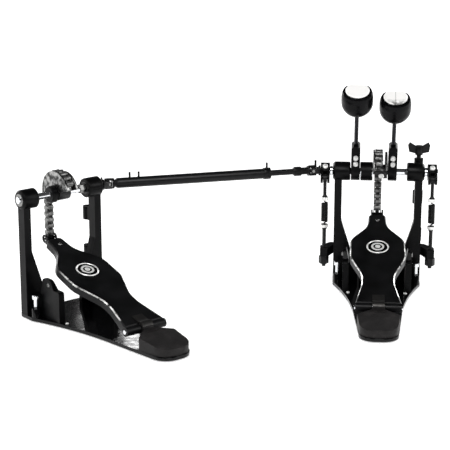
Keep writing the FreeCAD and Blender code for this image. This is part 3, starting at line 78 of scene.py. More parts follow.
SLAVE = Matrix.Translation((SLAVE_AXLE.x, SLAVE_AXLE.y, 0)) @ Matrix.Rotation(SLAVE_TURN, 4, "Z")
PEDALS = (("main", MAIN), ("slave", SLAVE))

# Ends of the main pedal's axle: side, sign of X and the body that turns there
AXLE_ENDS = (("right", 1, "main_axle"), ("left", -1, "secondary_shaft"))

# Points along each turn of a spring's wire, and along the bend at each of its ends
TURN_STEPS = 28
BEND_STEPS = 10

# Most values of a noise lie in this range
NOISE_RANGE = {"From Min": 0.3, "From Max": 0.7}


def linear(code):
    """Linear colour with alpha from an sRGB hex code."""
    steps = [int(code[i:i + 2], 16) / 255 for i in (0, 2, 4)]
    return [s / 12.92 if s <= 0.04045 else ((s + 0.055) / 1.055) ** 2.4 for s in steps] + [1.0]


def colour(name, description, code):
    """Setting for a colour, from an sRGB hex code."""
    return FloatVectorProperty(name=name, description=description, subtype="COLOR", size=4,
                               min=0.0, max=1.0, default=linear(code))


def length(name, description, millimetres):
    """Setting for a length, from millimetres."""
    return FloatProperty(name=name, description=description, subtype="DISTANCE", unit="LENGTH",
                         default=millimetres * MM)


def slant(name, description, degrees):
    """Setting for an angle, from degrees."""
    return FloatProperty(name=name, description=description, subtype="ANGLE", default=math.radians(degrees))


class PedalFinishes(bpy.types.PropertyGroup):
    """Colours of the pedal's surfaces"""

    casting: colour("Casting", "Black powder coat on posts, footboards and brackets", "070708")
    heel: colour("Heel", "Moulded heel plate", "161414")
    plate: colour("Plate", "Black enamel on the base plates", "050506")
    oxide: colour("Oxide", "Blackened steel of tube, springs and wing head", "0d0d0e")
    chrome: colour("Chrome", "Chromium plate on axles, pins and collars", "e3e5e8")
    # Painted reflection: the beater rods' chrome is darkened for the dark surroundings it mirrors
    rod: colour("Beater rod", "Smoked chrome on the beater rods", "2b2b2e")
    # Painted highlight: bright aluminium laid on the footboards' bevel along the waist
    bare: colour("Bare edge", "Aluminium where the coat is rubbed off", "d6d6d4")
    # Partly painted highlight: pale zinc pushed to near white, so small heads and caps read bright from every
    # side
    zinc: colour("Zinc", "Pale zinc on small screws, spring caps and badge rings", "f4f4f2")
    strap: colour("Strap", "Worn steel strap over each hinge knuckle", "3e3d3c")
    nickel: colour("Nickel", "Nickel plate on the chains, and bearing steel", "7e7e7d")
    cam: colour("Cam", "Tumbled aluminium of the cams", "828281")
    rubber: colour("Rubber", "Grip strips and clamp pad", "0d0d0d")
    beater: colour("Beater", "Moulded beater head", "040405")
    cap: colour("Cap", "White striking disc", "fcfbf9")


class PedalSizes(bpy.types.PropertyGroup):
    """Sizes and places of the pieces and finishes that only the scene carries"""

    board_slope: slant("Board slope", "Rest angle of the footboards", 17.972)
    # The painted highlight on each footboard's waist is placed over this length
    board_length: length("Board length", "Length of a footboard over which its wear is placed", 240.0)
    board_top: length("Board top", "Height of the board's face over the hinge line", 6.5)
    badge_radius: length("Badge radius", "Outer radius of the badge ring", 17.2)
    badge_reach: length("Badge reach", "Badge centre from the hinge along the board", 148.0)
    toe_reach: length("Toe screw reach", "Toe screw from the hinge along the board", 222.0)
    wire: length("Spring wire", "Radius of the spring wire", 0.95)
    coil: length("Spring coil", "Radius of the coil's centre line", 4.5)
    turns: IntProperty(name="Spring turns", description="Turns in each spring", default=15)
    chain_pitch: length("Chain pitch", "Distance between the chain's pins", 9.525)
    drop_links: IntProperty(name="Hanging links", description="Links in each hanging chain", default=8)
    # Below this height each chain is drawn in the black oxide colour
    darkening: length("Grease", "Height of the grease on the foot of each chain", 109.0)
    cam_hub: length("Cam hub", "Radius of the blackened hub of each cam", 11.3)
    strap_width: length("Strap width", "Width of the strap over each hinge knuckle", 18.0)
    collar_radius: length("Collar radius", "Radius of the chrome collars between housings and rockers", 7.2)
    collar_place: length("Collar place", "Start of each collar from the middle of the main axle", 71.3)
    nut_place: length("Nut place", "Start of the nut from the middle of the slave axle", 33.2)


class PedalStage(bpy.types.PropertyGroup):
    """Camera, floor and lights"""

    camera_place: FloatVectorProperty(name="Camera place", description="Where the camera stands",
                                      subtype="TRANSLATION", default=(-0.058, -2.416, 0.763))
    camera_tilt: slant("Camera tilt", "How far the camera looks up from straight down", 74.48)
    camera_pan: slant("Camera pan", "How far the camera turns to its left", 4.32)
    lens: FloatProperty(name="Lens", description="Focal length in millimetres", subtype="DISTANCE_CAMERA",
                        default=126.7)
    floor: colour("Floor", "Pale studio floor", "f4f4f4")
    floor_reach: length("Floor reach", "Middle of the floor to its edges", 30000.0)
    glow: FloatProperty(name="Floor glow", description="Light that comes through the floor", default=0.55)
    glow_near: length("Glow near", "Distance at which the floor's glow starts to rise", 1200.0)
    glow_far: length("Glow far", "Distance at which the floor glows white", 3500.0)
    world: FloatProperty(name="Surroundings", description="Strength of the dim room's light", default=0.06)


def finishes():
    """The scene's own colours."""
    return bpy.context.scene.pedal_finishes


def sizes():
    """The scene's own sizes."""
    return bpy.context.scene.pedal_sizes


def add_node(tree, kind, values=(), links=(), stops=()):
    """Adds a node, sets its sockets and settings, links its inputs and lays out its colour stops."""
    made = tree.nodes.new(kind)
    for name, setting in dict(values).items():
        if isinstance(name, int) or name in made.inputs:
            made.inputs[name].default_value = setting
        else:
            setattr(made, name, setting)
    for name, socket in dict(links).items():
        tree.links.new(socket, made.inputs[name])
    for i, (place, tint) in enumerate(stops):
        band = made.color_ramp.elements
        stop = band[i] if i < len(band) else band.new(place)
        stop.position = place
        stop.color = tint
    return made


def per_mm(millimetres):
    """Texture scale whose pattern repeats over a real size."""
    return 1 / (millimetres * MM)


def start_material(name, values=()):
    """New material, its tree, its shader and the link that lays a pattern on the object."""
    material = bpy.data.materials.new(name)
    material.use_nodes = True
    tree = material.node_tree
    shader = tree.nodes["Principled BSDF"]
    for socket, setting in dict(values).items():
        shader.inputs[socket].default_value = setting
    here = {"Vector": add_node(tree, "ShaderNodeTexCoord").outputs["Object"]}
    return material, tree, shader, here


def shade(tint, factor):
    """Tint made darker or lighter by a factor."""
    return [min(1.0, part * factor) for part in tint[:3]] + [1.0]


def powder_coat():
    """Powder-coated aluminium casting: satin black with the fine orange peel of baked powder."""
    tint = finishes().casting
    material, tree, shader, here = start_material("powder_coated_casting", {
        "IOR": 1.5, "Specular IOR Level": 0.1})
    peel = add_node(tree, "ShaderNodeTexNoise", {"Scale": per_mm(1.4), "Detail": 3.0}, here)
    cloud = add_node(tree, "ShaderNodeTexNoise", {"Scale": per_mm(24), "Detail": 4.0}, here)
    coat = add_node(tree, "ShaderNodeValToRGB", links={"Fac": cloud.outputs["Fac"]},
                    stops=[(0.35, shade(tint, 0.5)), (0.7, shade(tint, 1.2))])
    satin = add_node(tree, "ShaderNodeMapRange", {**NOISE_RANGE, "To Min": 0.3, "To Max": 0.44},
                     {"Value": cloud.outputs["Fac"]})
    relief = add_node(tree, "ShaderNodeBump", {"Strength": 0.35, "Distance": 0.06 * MM},
                      {"Height": peel.outputs["Fac"]})
    tree.links.new(coat.outputs["Color"], shader.inputs["Base Color"])
    tree.links.new(satin.outputs["Result"], shader.inputs["Roughness"])
    tree.links.new(relief.outputs["Normal"], shader.inputs["Normal"])
    return material


def board_coat_with_painted_highlight(pedal, place):
    """Powder-coated footboard: satin black, with a painted highlight in bright bare aluminium along its
    bevelled waist.
    """
    tint = finishes().casting
    material, tree, shader, here = start_material(f"{pedal}_powder_coated_board", {
        "IOR": 1.5, "Specular IOR Level": 0.16})
    board = board_place(place)
    own = {"vector_type": "TEXTURE", "Location": board.to_translation(), "Rotation": board.to_euler()}
    along = add_node(tree, "ShaderNodeMapping", own, here)
    reach = add_node(tree, "ShaderNodeSeparateXYZ", links={"Vector": along.outputs["Vector"]})
    face = add_node(tree, "ShaderNodeTexCoord")
    facing = add_node(tree, "ShaderNodeVectorMath", {"operation": "DOT_PRODUCT", 1: board.col[2].to_3d()},
                      {0: face.outputs["Normal"]})
    black = linear("000000")
    white = linear("ffffff")
    # Painted highlight: the outward bevel over the waist, broken by noise, turns bright and metallic
    bevel = add_node(tree, "ShaderNodeValToRGB", links={"Fac": facing.outputs["Value"]},
                     stops=[(0.5, black), (0.6, white), (0.8, white), (0.9, black)])
    share = add_node(tree, "ShaderNodeMapRange", {"From Max": sizes().board_length},
                     {"Value": reach.outputs["Y"]})
    waist = add_node(tree, "ShaderNodeValToRGB", links={"Fac": share.outputs["Result"]},
                     stops=[(0.06, black), (0.1, white), (0.56, white), (0.68, black)])
    highlight_breaks = add_node(tree, "ShaderNodeTexNoise", {"Scale": per_mm(9), "Detail": 5.0}, here)
    patch = add_node(tree, "ShaderNodeMapRange", {"From Min": 0.36, "From Max": 0.52},
                     {"Value": highlight_breaks.outputs["Fac"]})
    rubbed = add_node(tree, "ShaderNodeMath", {"operation": "MULTIPLY"},
                      {0: bevel.outputs["Color"], 1: waist.outputs["Color"]})
    worn = add_node(tree, "ShaderNodeMath", {"operation": "MULTIPLY"},
                    {0: rubbed.outputs["Value"], 1: patch.outputs["Result"]})
    cloud = add_node(tree, "ShaderNodeTexNoise", {"Scale": per_mm(30), "Detail": 4.0}, here)
    coat = add_node(tree, "ShaderNodeValToRGB", links={"Fac": cloud.outputs["Fac"]},
                    stops=[(0.35, shade(tint, 0.6)), (0.7, shade(tint, 1.7))])
    # The painted highlight mixes bare aluminium into the coat's colour
    tone = add_node(tree, "ShaderNodeMix", {"data_type": "RGBA", 7: finishes().bare},
                    {0: worn.outputs["Value"], 6: coat.outputs["Color"]})
    satin = add_node(tree, "ShaderNodeMapRange", {**NOISE_RANGE, "To Min": 0.3, "To Max": 0.46},
                     {"Value": cloud.outputs["Fac"]})
    peel = add_node(tree, "ShaderNodeTexNoise", {"Scale": per_mm(1.4), "Detail": 3.0}, here)
    relief = add_node(tree, "ShaderNodeBump", {"Strength": 0.3, "Distance": 0.06 * MM},
                      {"Height": peel.outputs["Fac"]})
    tree.links.new(tone.outputs[2], shader.inputs["Base Color"])
    tree.links.new(worn.outputs["Value"], shader.inputs["Metallic"])
    tree.links.new(satin.outputs["Result"], shader.inputs["Roughness"])
    tree.links.new(relief.outputs["Normal"], shader.inputs["Normal"])
    return material


def moulded_heel():
    """Moulded nylon heel: matt black with a pebbled grip grain, drawn at 1.6 mm so that it shows."""
    tint = finishes().heel
    material, tree, shader, here = start_material("moulded_nylon_heel", {
        "IOR": 1.5, "Specular IOR Level": 0.25})
    pebble = add_node(tree, "ShaderNodeTexVoronoi", {"Scale": per_mm(1.6)}, here)
    scuff = add_node(tree, "ShaderNodeTexNoise", {"Scale": per_mm(14), "Detail": 6.0, "Roughness": 0.65},
                     here)
    tone = add_node(tree, "ShaderNodeValToRGB", links={"Fac": scuff.outputs["Fac"]},
                    stops=[(0.38, shade(tint, 0.7)), (0.55, tint), (0.72, shade(tint, 2.6))])
    matt = add_node(tree, "ShaderNodeMapRange", {**NOISE_RANGE, "To Min": 0.5, "To Max": 0.66},
                    {"Value": scuff.outputs["Fac"]})
    relief = add_node(tree, "ShaderNodeBump", {"Strength": 0.5, "Distance": 0.25 * MM},
                      {"Height": pebble.outputs["Distance"]})
    tree.links.new(tone.outputs["Color"], shader.inputs["Base Color"])
    tree.links.new(matt.outputs["Result"], shader.inputs["Roughness"])
    tree.links.new(relief.outputs["Normal"], shader.inputs["Normal"])
    return material


def gloss_enamel():
    """Stoved enamel on steel plate: deep black gloss with faint long waves from the sheet."""
    material, tree, shader, here = start_material("stoved_enamel_plate", {
        "Base Color": finishes().plate, "IOR": 1.5, "Specular IOR Level": 0.2})
    wave = add_node(tree, "ShaderNodeTexNoise", {"Scale": per_mm(45), "Detail": 2.0}, here)
    dust = add_node(tree, "ShaderNodeTexNoise", {"Scale": per_mm(9), "Detail": 5.0}, here)
    gloss = add_node(tree, "ShaderNodeMapRange", {**NOISE_RANGE, "To Min": 0.06, "To Max": 0.15},
                     {"Value": dust.outputs["Fac"]})
    relief = add_node(tree, "ShaderNodeBump", {"Strength": 0.5, "Distance": 0.6 * MM},
                      {"Height": wave.outputs["Fac"]})
    tree.links.new(gloss.outputs["Result"], shader.inputs["Roughness"])
    tree.links.new(relief.outputs["Normal"], shader.inputs["Normal"])
    return material


def black_oxide(name="black_oxide_steel", smooth=0.28, rough=0.45):
    """Blackened steel: dark, a little metallic, with uneven oil sheen."""
    tint = finishes().oxide
    material, tree, shader, here = start_material(name, {"Metallic": 0.3, "Specular IOR Level": 0.25})
    sheen = add_node(tree, "ShaderNodeTexNoise", {"Scale": per_mm(7), "Detail": 4.0}, here)
    tone = add_node(tree, "ShaderNodeValToRGB", links={"Fac": sheen.outputs["Fac"]},
                    stops=[(0.35, shade(tint, 0.7)), (0.7, shade(tint, 1.6))])
    oil = add_node(tree, "ShaderNodeMapRange", {**NOISE_RANGE, "To Min": smooth, "To Max": rough},
                   {"Value": sheen.outputs["Fac"]})
    tree.links.new(tone.outputs["Color"], shader.inputs["Base Color"])
    tree.links.new(oil.outputs["Result"], shader.inputs["Roughness"])
    return material


def chromed(name="chromium_plate", tint=None, smooth=0.05, rough=0.16):
    """Chromium plate on steel: mirror bright with faint buffing haze."""
    material, tree, shader, here = start_material(name, {
        "Metallic": 1.0, "Base Color": tint or finishes().chrome})
    haze = add_node(tree, "ShaderNodeTexNoise", {"Scale": per_mm(5), "Detail": 4.0}, here)
    buff = add_node(tree, "ShaderNodeMapRange", {**NOISE_RANGE, "To Min": smooth, "To Max": rough},
                    {"Value": haze.outputs["Fac"]})
    tree.links.new(buff.outputs["Result"], shader.inputs["Roughness"])
    return material


def pale_zinc_and_glint():
    """Pale zinc plate, a little cloudy, pushed to near white: partly the plate's own pale tone, partly a
    painted highlight.
    """
    tint = finishes().zinc
    material, tree, shader, here = start_material("pale_zinc_and_glint", {"Metallic": 0.35})
    cloud = add_node(tree, "ShaderNodeTexNoise", {"Scale": per_mm(3), "Detail": 4.0}, here)
    tone = add_node(tree, "ShaderNodeValToRGB", links={"Fac": cloud.outputs["Fac"]},
                    stops=[(0.3, shade(tint, 0.75)), (0.55, tint)])
    dull = add_node(tree, "ShaderNodeMapRange", {**NOISE_RANGE, "To Min": 0.42, "To Max": 0.28},
                    {"Value": cloud.outputs["Fac"]})
    tree.links.new(tone.outputs["Color"], shader.inputs["Base Color"])
    tree.links.new(dull.outputs["Result"], shader.inputs["Roughness"])
    return material


def threaded_rod():
    """Blackened screw rod: dark steel whose cut thread catches thin lines of light."""
    material, tree, shader, here = start_material("threaded_black_rod", {"Metallic": 0.4, "Roughness": 0.3})
    # A wave node draws one band over 2 pi / 20 of its scaled length, so this gives a band to each 1.25 mm.
    thread = per_mm(1.25) * math.pi / 10
    crest = add_node(tree, "ShaderNodeTexWave", {"Scale": thread, "bands_direction": "Z"}, here)
    tone = add_node(tree, "ShaderNodeValToRGB", links={"Fac": crest.outputs["Fac"]},
                    stops=[(0.3, shade(finishes().oxide, 0.6)), (0.9, shade(finishes().oxide, 3.0))])
    relief = add_node(tree, "ShaderNodeBump", {"Strength": 0.9, "Distance": 0.5 * MM},
                      {"Height": crest.outputs["Fac"]})
    tree.links.new(tone.outputs["Color"], shader.inputs["Base Color"])
    tree.links.new(relief.outputs["Normal"], shader.inputs["Normal"])
    return material


def part_blackened(name, place, dark_from, bright):
    """Bright steel that is left in black oxide beyond a place in millimetres along its axle."""
    material, tree, shader, here = start_material(name)
    own = {"vector_type": "TEXTURE", "Location": place.to_translation(), "Rotation": place.to_euler()}
    along = add_node(tree, "ShaderNodeMapping", own, here)
    spot = add_node(tree, "ShaderNodeSeparateXYZ", links={"Vector": along.outputs["Vector"]})
    dark = add_node(tree, "ShaderNodeMath", {"operation": "GREATER_THAN", 1: dark_from * MM},
                    {0: spot.outputs["X"]})
    tone = add_node(tree, "ShaderNodeValToRGB", links={"Fac": dark.outputs["Value"]},
                    stops=[(0.0, bright), (1.0, finishes().oxide)])
    metal = add_node(tree, "ShaderNodeMapRange", {"To Min": 1.0, "To Max": 0.3},
                     {"Value": dark.outputs["Value"]})
    haze = add_node(tree, "ShaderNodeTexNoise", {"Scale": per_mm(5), "Detail": 4.0}, here)
    polish = add_node(tree, "ShaderNodeMapRange", {**NOISE_RANGE, "To Min": 0.06, "To Max": 0.18},
                      {"Value": haze.outputs["Fac"]})
    dull = add_node(tree, "ShaderNodeMath", {"operation": "MULTIPLY_ADD", 1: 0.25},
                    {0: dark.outputs["Value"], 2: polish.outputs["Result"]})
    tree.links.new(tone.outputs["Color"], shader.inputs["Base Color"])
    tree.links.new(metal.outputs["Result"], shader.inputs["Metallic"])
    tree.links.new(dull.outputs["Value"], shader.inputs["Roughness"])
    return material


def nickel_chain():
    """Nickel-plated chain: satin grey with darker oiled patches, and the black oxide colour at its foot."""
    tint = finishes().nickel
    darkening = sizes().darkening
    material, tree, shader, here = start_material("nickel_plated_chain", {"Metallic": 1.0})
    oil = add_node(tree, "ShaderNodeTexNoise", {"Scale": per_mm(4.5), "Detail": 5.0}, here)
    tone = add_node(tree, "ShaderNodeValToRGB", links={"Fac": oil.outputs["Fac"]},
                    stops=[(0.4, shade(tint, 0.45)), (0.58, shade(tint, 1.15))])
    height = add_node(tree, "ShaderNodeSeparateXYZ", links=here)
    # Below the set height the chain takes the black oxide colour
    above_foot = add_node(tree, "ShaderNodeMapRange", {"From Min": darkening, "From Max": darkening + 3 * MM},
                     {"Value": height.outputs["Z"]})
    dark_footed = add_node(tree, "ShaderNodeMix", {"data_type": "RGBA", 6: finishes().oxide},
                       {0: above_foot.outputs["Result"], 7: tone.outputs["Color"]})
    wear = add_node(tree, "ShaderNodeMapRange", {**NOISE_RANGE, "To Min": 0.55, "To Max": 0.38},
                    {"Value": oil.outputs["Fac"]})
    tree.links.new(dark_footed.outputs[2], shader.inputs["Base Color"])
    tree.links.new(wear.outputs["Result"], shader.inputs["Roughness"])
    return material


def tumbled_cam(pedal, place):
    """Tumbled cast aluminium: grey, mottled by the tumbling stones, with a blackened hub."""
    tint = finishes().cam
    hub = sizes().cam_hub
    material, tree, shader, here = start_material(f"{pedal}_tumbled_aluminium_cam")
    axis = place.copy()
    axis.translation.z = AXLE.z
    own = {"vector_type": "TEXTURE", "Location": axis.to_translation(), "Rotation": axis.to_euler()}
    centred = add_node(tree, "ShaderNodeMapping", own, here)
    across = add_node(tree, "ShaderNodeVectorMath", {"operation": "MULTIPLY", 1: (0, 1, 1)},
                      {0: centred.outputs["Vector"]})
    radius = add_node(tree, "ShaderNodeVectorMath", {"operation": "LENGTH"}, {0: across.outputs["Vector"]})
    bare = add_node(tree, "ShaderNodeMapRange", {"From Min": hub, "From Max": hub + 0.7 * MM},
                    {"Value": radius.outputs["Value"]})
    stone = add_node(tree, "ShaderNodeTexNoise", {"Scale": per_mm(7), "Detail": 6.0}, here)
    mottle = add_node(tree, "ShaderNodeValToRGB", links={"Fac": stone.outputs["Fac"]},
                      stops=[(0.4, shade(tint, 0.15)), (0.6, shade(tint, 1.4))])
    tone = add_node(tree, "ShaderNodeMix", {"data_type": "RGBA", 6: finishes().oxide},
                    {0: bare.outputs["Result"], 7: mottle.outputs["Color"]})
    metal = add_node(tree, "ShaderNodeMapRange", {"To Min": 0.3, "To Max": 1.0},
                     {"Value": bare.outputs["Result"]})
    polish = add_node(tree, "ShaderNodeMapRange", {**NOISE_RANGE, "To Min": 0.45, "To Max": 0.24},
                      {"Value": stone.outputs["Fac"]})
    relief = add_node(tree, "ShaderNodeBump", {"Strength": 0.4, "Distance": 0.25 * MM},
                      {"Height": stone.outputs["Fac"]})
    tree.links.new(tone.outputs[2], shader.inputs["Base Color"])
    tree.links.new(metal.outputs["Result"], shader.inputs["Metallic"])
    tree.links.new(polish.outputs["Result"], shader.inputs["Roughness"])
    tree.links.new(relief.outputs["Normal"], shader.inputs["Normal"])
    return material


def ground_steel():
    """Ground bearing steel: a fine grey grit from the grinding wheel."""
    material, tree, shader, here = start_material("ground_bearing_steel", {
        "Metallic": 1.0, "Base Color": finishes().nickel})
    grit = add_node(tree, "ShaderNodeTexNoise", {"Scale": per_mm(1.2), "Detail": 3.0}, here)
    wheel = add_node(tree, "ShaderNodeMapRange", {**NOISE_RANGE, "To Min": 0.18, "To Max": 0.34},
                     {"Value": grit.outputs["Fac"]})
    tree.links.new(wheel.outputs["Result"], shader.inputs["Roughness"])
    return material


def grip_rubber():
    """Moulded rubber: matt black with a dry bloom."""
    tint = finishes().rubber
    material, tree, shader, here = start_material("moulded_rubber", {"IOR": 1.52})
    bloom = add_node(tree, "ShaderNodeTexNoise", {"Scale": per_mm(4), "Detail": 5.0}, here)
    tone = add_node(tree, "ShaderNodeValToRGB", links={"Fac": bloom.outputs["Fac"]},
                    stops=[(0.35, tint), (0.75, shade(tint, 2.2))])
    dry = add_node(tree, "ShaderNodeMapRange", {**NOISE_RANGE, "To Min": 0.7, "To Max": 0.85},
                   {"Value": bloom.outputs["Fac"]})
    relief = add_node(tree, "ShaderNodeBump", {"Strength": 0.5, "Distance": 0.1 * MM},
                      {"Height": bloom.outputs["Fac"]})
    tree.links.new(tone.outputs["Color"], shader.inputs["Base Color"])
    tree.links.new(dry.outputs["Result"], shader.inputs["Roughness"])
    tree.links.new(relief.outputs["Normal"], shader.inputs["Normal"])
    return material


def beater_gloss():
    """Moulded urethane beater head: black gloss with light handling marks."""
    tint = finishes().beater
    material, tree, shader, here = start_material("moulded_urethane_beater", {
        "IOR": 1.5, "Specular IOR Level": 0.09})
    marks = add_node(tree, "ShaderNodeTexNoise", {"Scale": per_mm(11), "Detail": 6.0}, here)
    tone = add_node(tree, "ShaderNodeValToRGB", links={"Fac": marks.outputs["Fac"]},
                    stops=[(0.4, tint), (0.75, shade(tint, 2.5))])
    gloss = add_node(tree, "ShaderNodeMapRange", {**NOISE_RANGE, "To Min": 0.2, "To Max": 0.36},
                     {"Value": marks.outputs["Fac"]})
    tree.links.new(tone.outputs["Color"], shader.inputs["Base Color"])
    tree.links.new(gloss.outputs["Result"], shader.inputs["Roughness"])
    return material


def white_cap(beater, greying):
    """White nylon disc; its second argument scales a painted grey reflection low on it and a grey middle line.
    """
    tint = finishes().cap
    low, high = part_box(f"{beater}_beater_cap")
    material, tree, shader, here = start_material(f"{beater}_white_nylon_disc", {
        "IOR": 1.5, "Roughness": 0.42})
    spot = add_node(tree, "ShaderNodeSeparateXYZ", links=here)
    grey_noise = add_node(tree, "ShaderNodeTexNoise", {"Scale": per_mm(7), "Detail": 6.0}, here)
    # Painted reflection: grey, broken by noise, over the two fifths of the disc at low Y
    grey_until = low.y + 0.4 * (high.y - low.y)
    margin = add_node(tree, "ShaderNodeMapRange",
                      {"From Min": low.y, "From Max": grey_until, "To Min": greying, "To Max": 0.0},
                      {"Value": spot.outputs["Y"]})
    patch = add_node(tree, "ShaderNodeMapRange", {"From Min": 0.35, "From Max": 0.55},
                     {"Value": grey_noise.outputs["Fac"]})
    grey = add_node(tree, "ShaderNodeMath", {"operation": "MULTIPLY"},
                    {0: margin.outputs["Result"], 1: patch.outputs["Result"]})
    # A thin grey line down the middle of the disc
    middle_line = add_node(tree, "ShaderNodeMath", {"operation": "COMPARE", 1: (low.x + high.x) / 2, 2: 0.35 * MM},
                    {0: spot.outputs["X"]})
    marked = add_node(tree, "ShaderNodeMath", {"operation": "MULTIPLY_ADD", 1: 0.7 * greying},
                      {0: middle_line.outputs["Value"], 2: grey.outputs["Value"]})
    tone = add_node(tree, "ShaderNodeValToRGB", links={"Fac": marked.outputs["Value"]},
                    stops=[(0.0, tint), (1.0, shade(tint, 0.12))])
    tree.links.new(tone.outputs["Color"], shader.inputs["Base Color"])
    return material


def dress(node, material, bevel=0.0):
    """Gives a CAD node its finish, and a bevel in millimetres where its real edges are rounded."""
    obj = NODES[node]
    obj.data.materials.clear()
    obj.data.materials.append(material)
    if bevel:
        weld = obj.modifiers.new("joined_faces", "WELD")
        weld.merge_threshold = 1e-6
        rounded = obj.modifiers.new("broken_edges", "BEVEL")
        rounded.width = bevel * MM
        rounded.segments = 2
        rounded.limit_method = "ANGLE"
        rounded.angle_limit = math.radians(42)
        rounded.harden_normals = True


def skin(name, rings, place, closed):
    """Mesh that runs from ring to ring, with both ends filled unless the rings close on themselves."""
    shape = bmesh.new()
    loops = [[shape.verts.new(place @ point) for point in points] for points in rings]
    following = loops[1:] + loops[:1] if closed else loops[1:]
    for low, high in zip(loops, following):
        for i in range(len(low)):
            after = (i + 1) % len(low)
            shape.faces.new((low[i], low[after], high[after], high[i]))
    if not closed:
        shape.faces.new(reversed(loops[0]))
        shape.faces.new(loops[-1])
    bmesh.ops.recalc_face_normals(shape, faces=shape.faces)
    mesh = bpy.data.meshes.new(name)
    shape.to_mesh(mesh)
    shape.free()
    return mesh


def add_piece(name, rings, place, material, body=None, closed=False, sharp=35):
    """Skins the rings as a piece that rides on a body. Edges over the sharp angle in degrees stay sharp."""
    mesh = skin(name, rings, place, closed)
    mesh.materials.append(material)
    mesh.shade_smooth()
    mesh.set_sharp_from_angle(angle=math.radians(sharp))
    piece = bpy.data.objects.new(name, mesh)
    bpy.context.scene.collection.objects.link(piece)
    if body:
        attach(piece, body)
    return piece


def ring(radius, height, corners=0, count=48):
    """Ring of points about Z: round, or with flats between the corners."""
    points = []
    for i in range(count):
        angle = 2 * math.pi * i / count
        reach = radius
        if corners:
            half = math.pi / corners
            reach = radius * math.cos(half) / math.cos(angle % (2 * half) - half)
        points.append(Vector((reach * math.cos(angle), reach * math.sin(angle), height)))
    return points


def turned(profile, corners=0):
    """Rings from (radius, height) pairs in millimetres."""
    return [ring(radius * MM, height * MM, corners) for radius, height in profile]


def sleeve(bore, outer, reach, start=0.6, end=0.6):
    """Profile of a sleeve in millimetres, with a chamfer at its start and at its end."""
    return [(bore, 0), (outer - start, 0), (outer, start),
            (outer, reach - end), (outer - end, reach), (bore, reach)]


def button_head(radius, rise, socket):
    """Domed screw head with a hexagon socket, standing on z = 0."""
    dome = [(radius, 0), (radius, rise * 0.35), (radius * 0.93, rise * 0.62),
            (radius * 0.78, rise * 0.86), (radius * 0.6, rise)]
    return turned(dome) + turned([(socket, rise), (socket, rise * 0.45)], corners=6)


def key_screw(radius, rise):
    """Drum key screw: a round shoulder and a square head with a chamfered top."""
    shoulder = [(radius, 0), (radius, rise * 0.45)]
    square = [(radius * 0.95, rise * 0.46), (radius * 0.95, rise * 0.94), (radius * 0.75, rise)]
    return turned(shoulder) + turned(square, corners=4)


def tube_rings(path, radius, sides=10):
    """Rings square to a path, carried along without twisting."""
    turns = [2 * math.pi * k / sides for k in range(sides)]
    rings = []
    side = None
    for i, point in enumerate(path):
        way = (path[min(i + 1, len(path) - 1)] - path[max(i - 1, 0)]).normalized()
        if side is None:
            side = way.orthogonal()
        side = (side - way * side.dot(way)).normalized()
        up = way.cross(side)
        rings.append([point + radius * (math.cos(t) * side + math.sin(t) * up) for t in turns])
    return rings


def coil_path(foot, top):
    """Centre line of a spring that stands between two points, with both ends bent in to the middle."""
    size = sizes()
    lead = 2 * size.wire
    bend = 3 * size.wire
    first = foot.z + lead + bend
    last = top.z - lead - bend
    steps = TURN_STEPS * size.turns
    path = [foot, foot + Vector((0, 0, lead))]
    for i in range(-BEND_STEPS, steps + BEND_STEPS + 1):
        share = i / steps
        angle = 2 * math.pi * size.turns * share
        # Beyond the full turns the wire curls in over a quarter circle.
        curl = max(-i, i - steps, 0) / (BEND_STEPS + 0.5) * math.pi / 2
        reach = size.coil * math.cos(curl)
        z = first + (last - first) * min(max(share, 0), 1)
        z += math.copysign(bend * (1 - math.cos(curl)), share - 0.5)
        path.append(Vector((foot.x + reach * math.cos(angle), foot.y + reach * math.sin(angle), z)))
    return path + [top - Vector((0, 0, lead)), top]


def strap_line(radius, tail):
    """One face of a hinge strap in millimetres: round the knuckle, then along its tail on the board."""
    turns = [math.radians(angle) for angle in range(135, 50, -7)]
    return [(radius * math.cos(turn), radius * math.sin(turn)) for turn in turns] + tail


def towards(point, way):
    """Place whose Z points a given way, from a point in millimetres."""
    return Matrix.Translation(Vector(point) * MM) @ Vector(way).to_track_quat("Z", "Y").to_matrix().to_4x4()


def board_place(pedal):
    """Footboard's own frame: Y along the board from the hinge, Z off its face."""
    tilt = Matrix.Rotation(sizes().board_slope, 4, "X")
    return pedal @ Matrix.Translation(HINGE) @ tilt


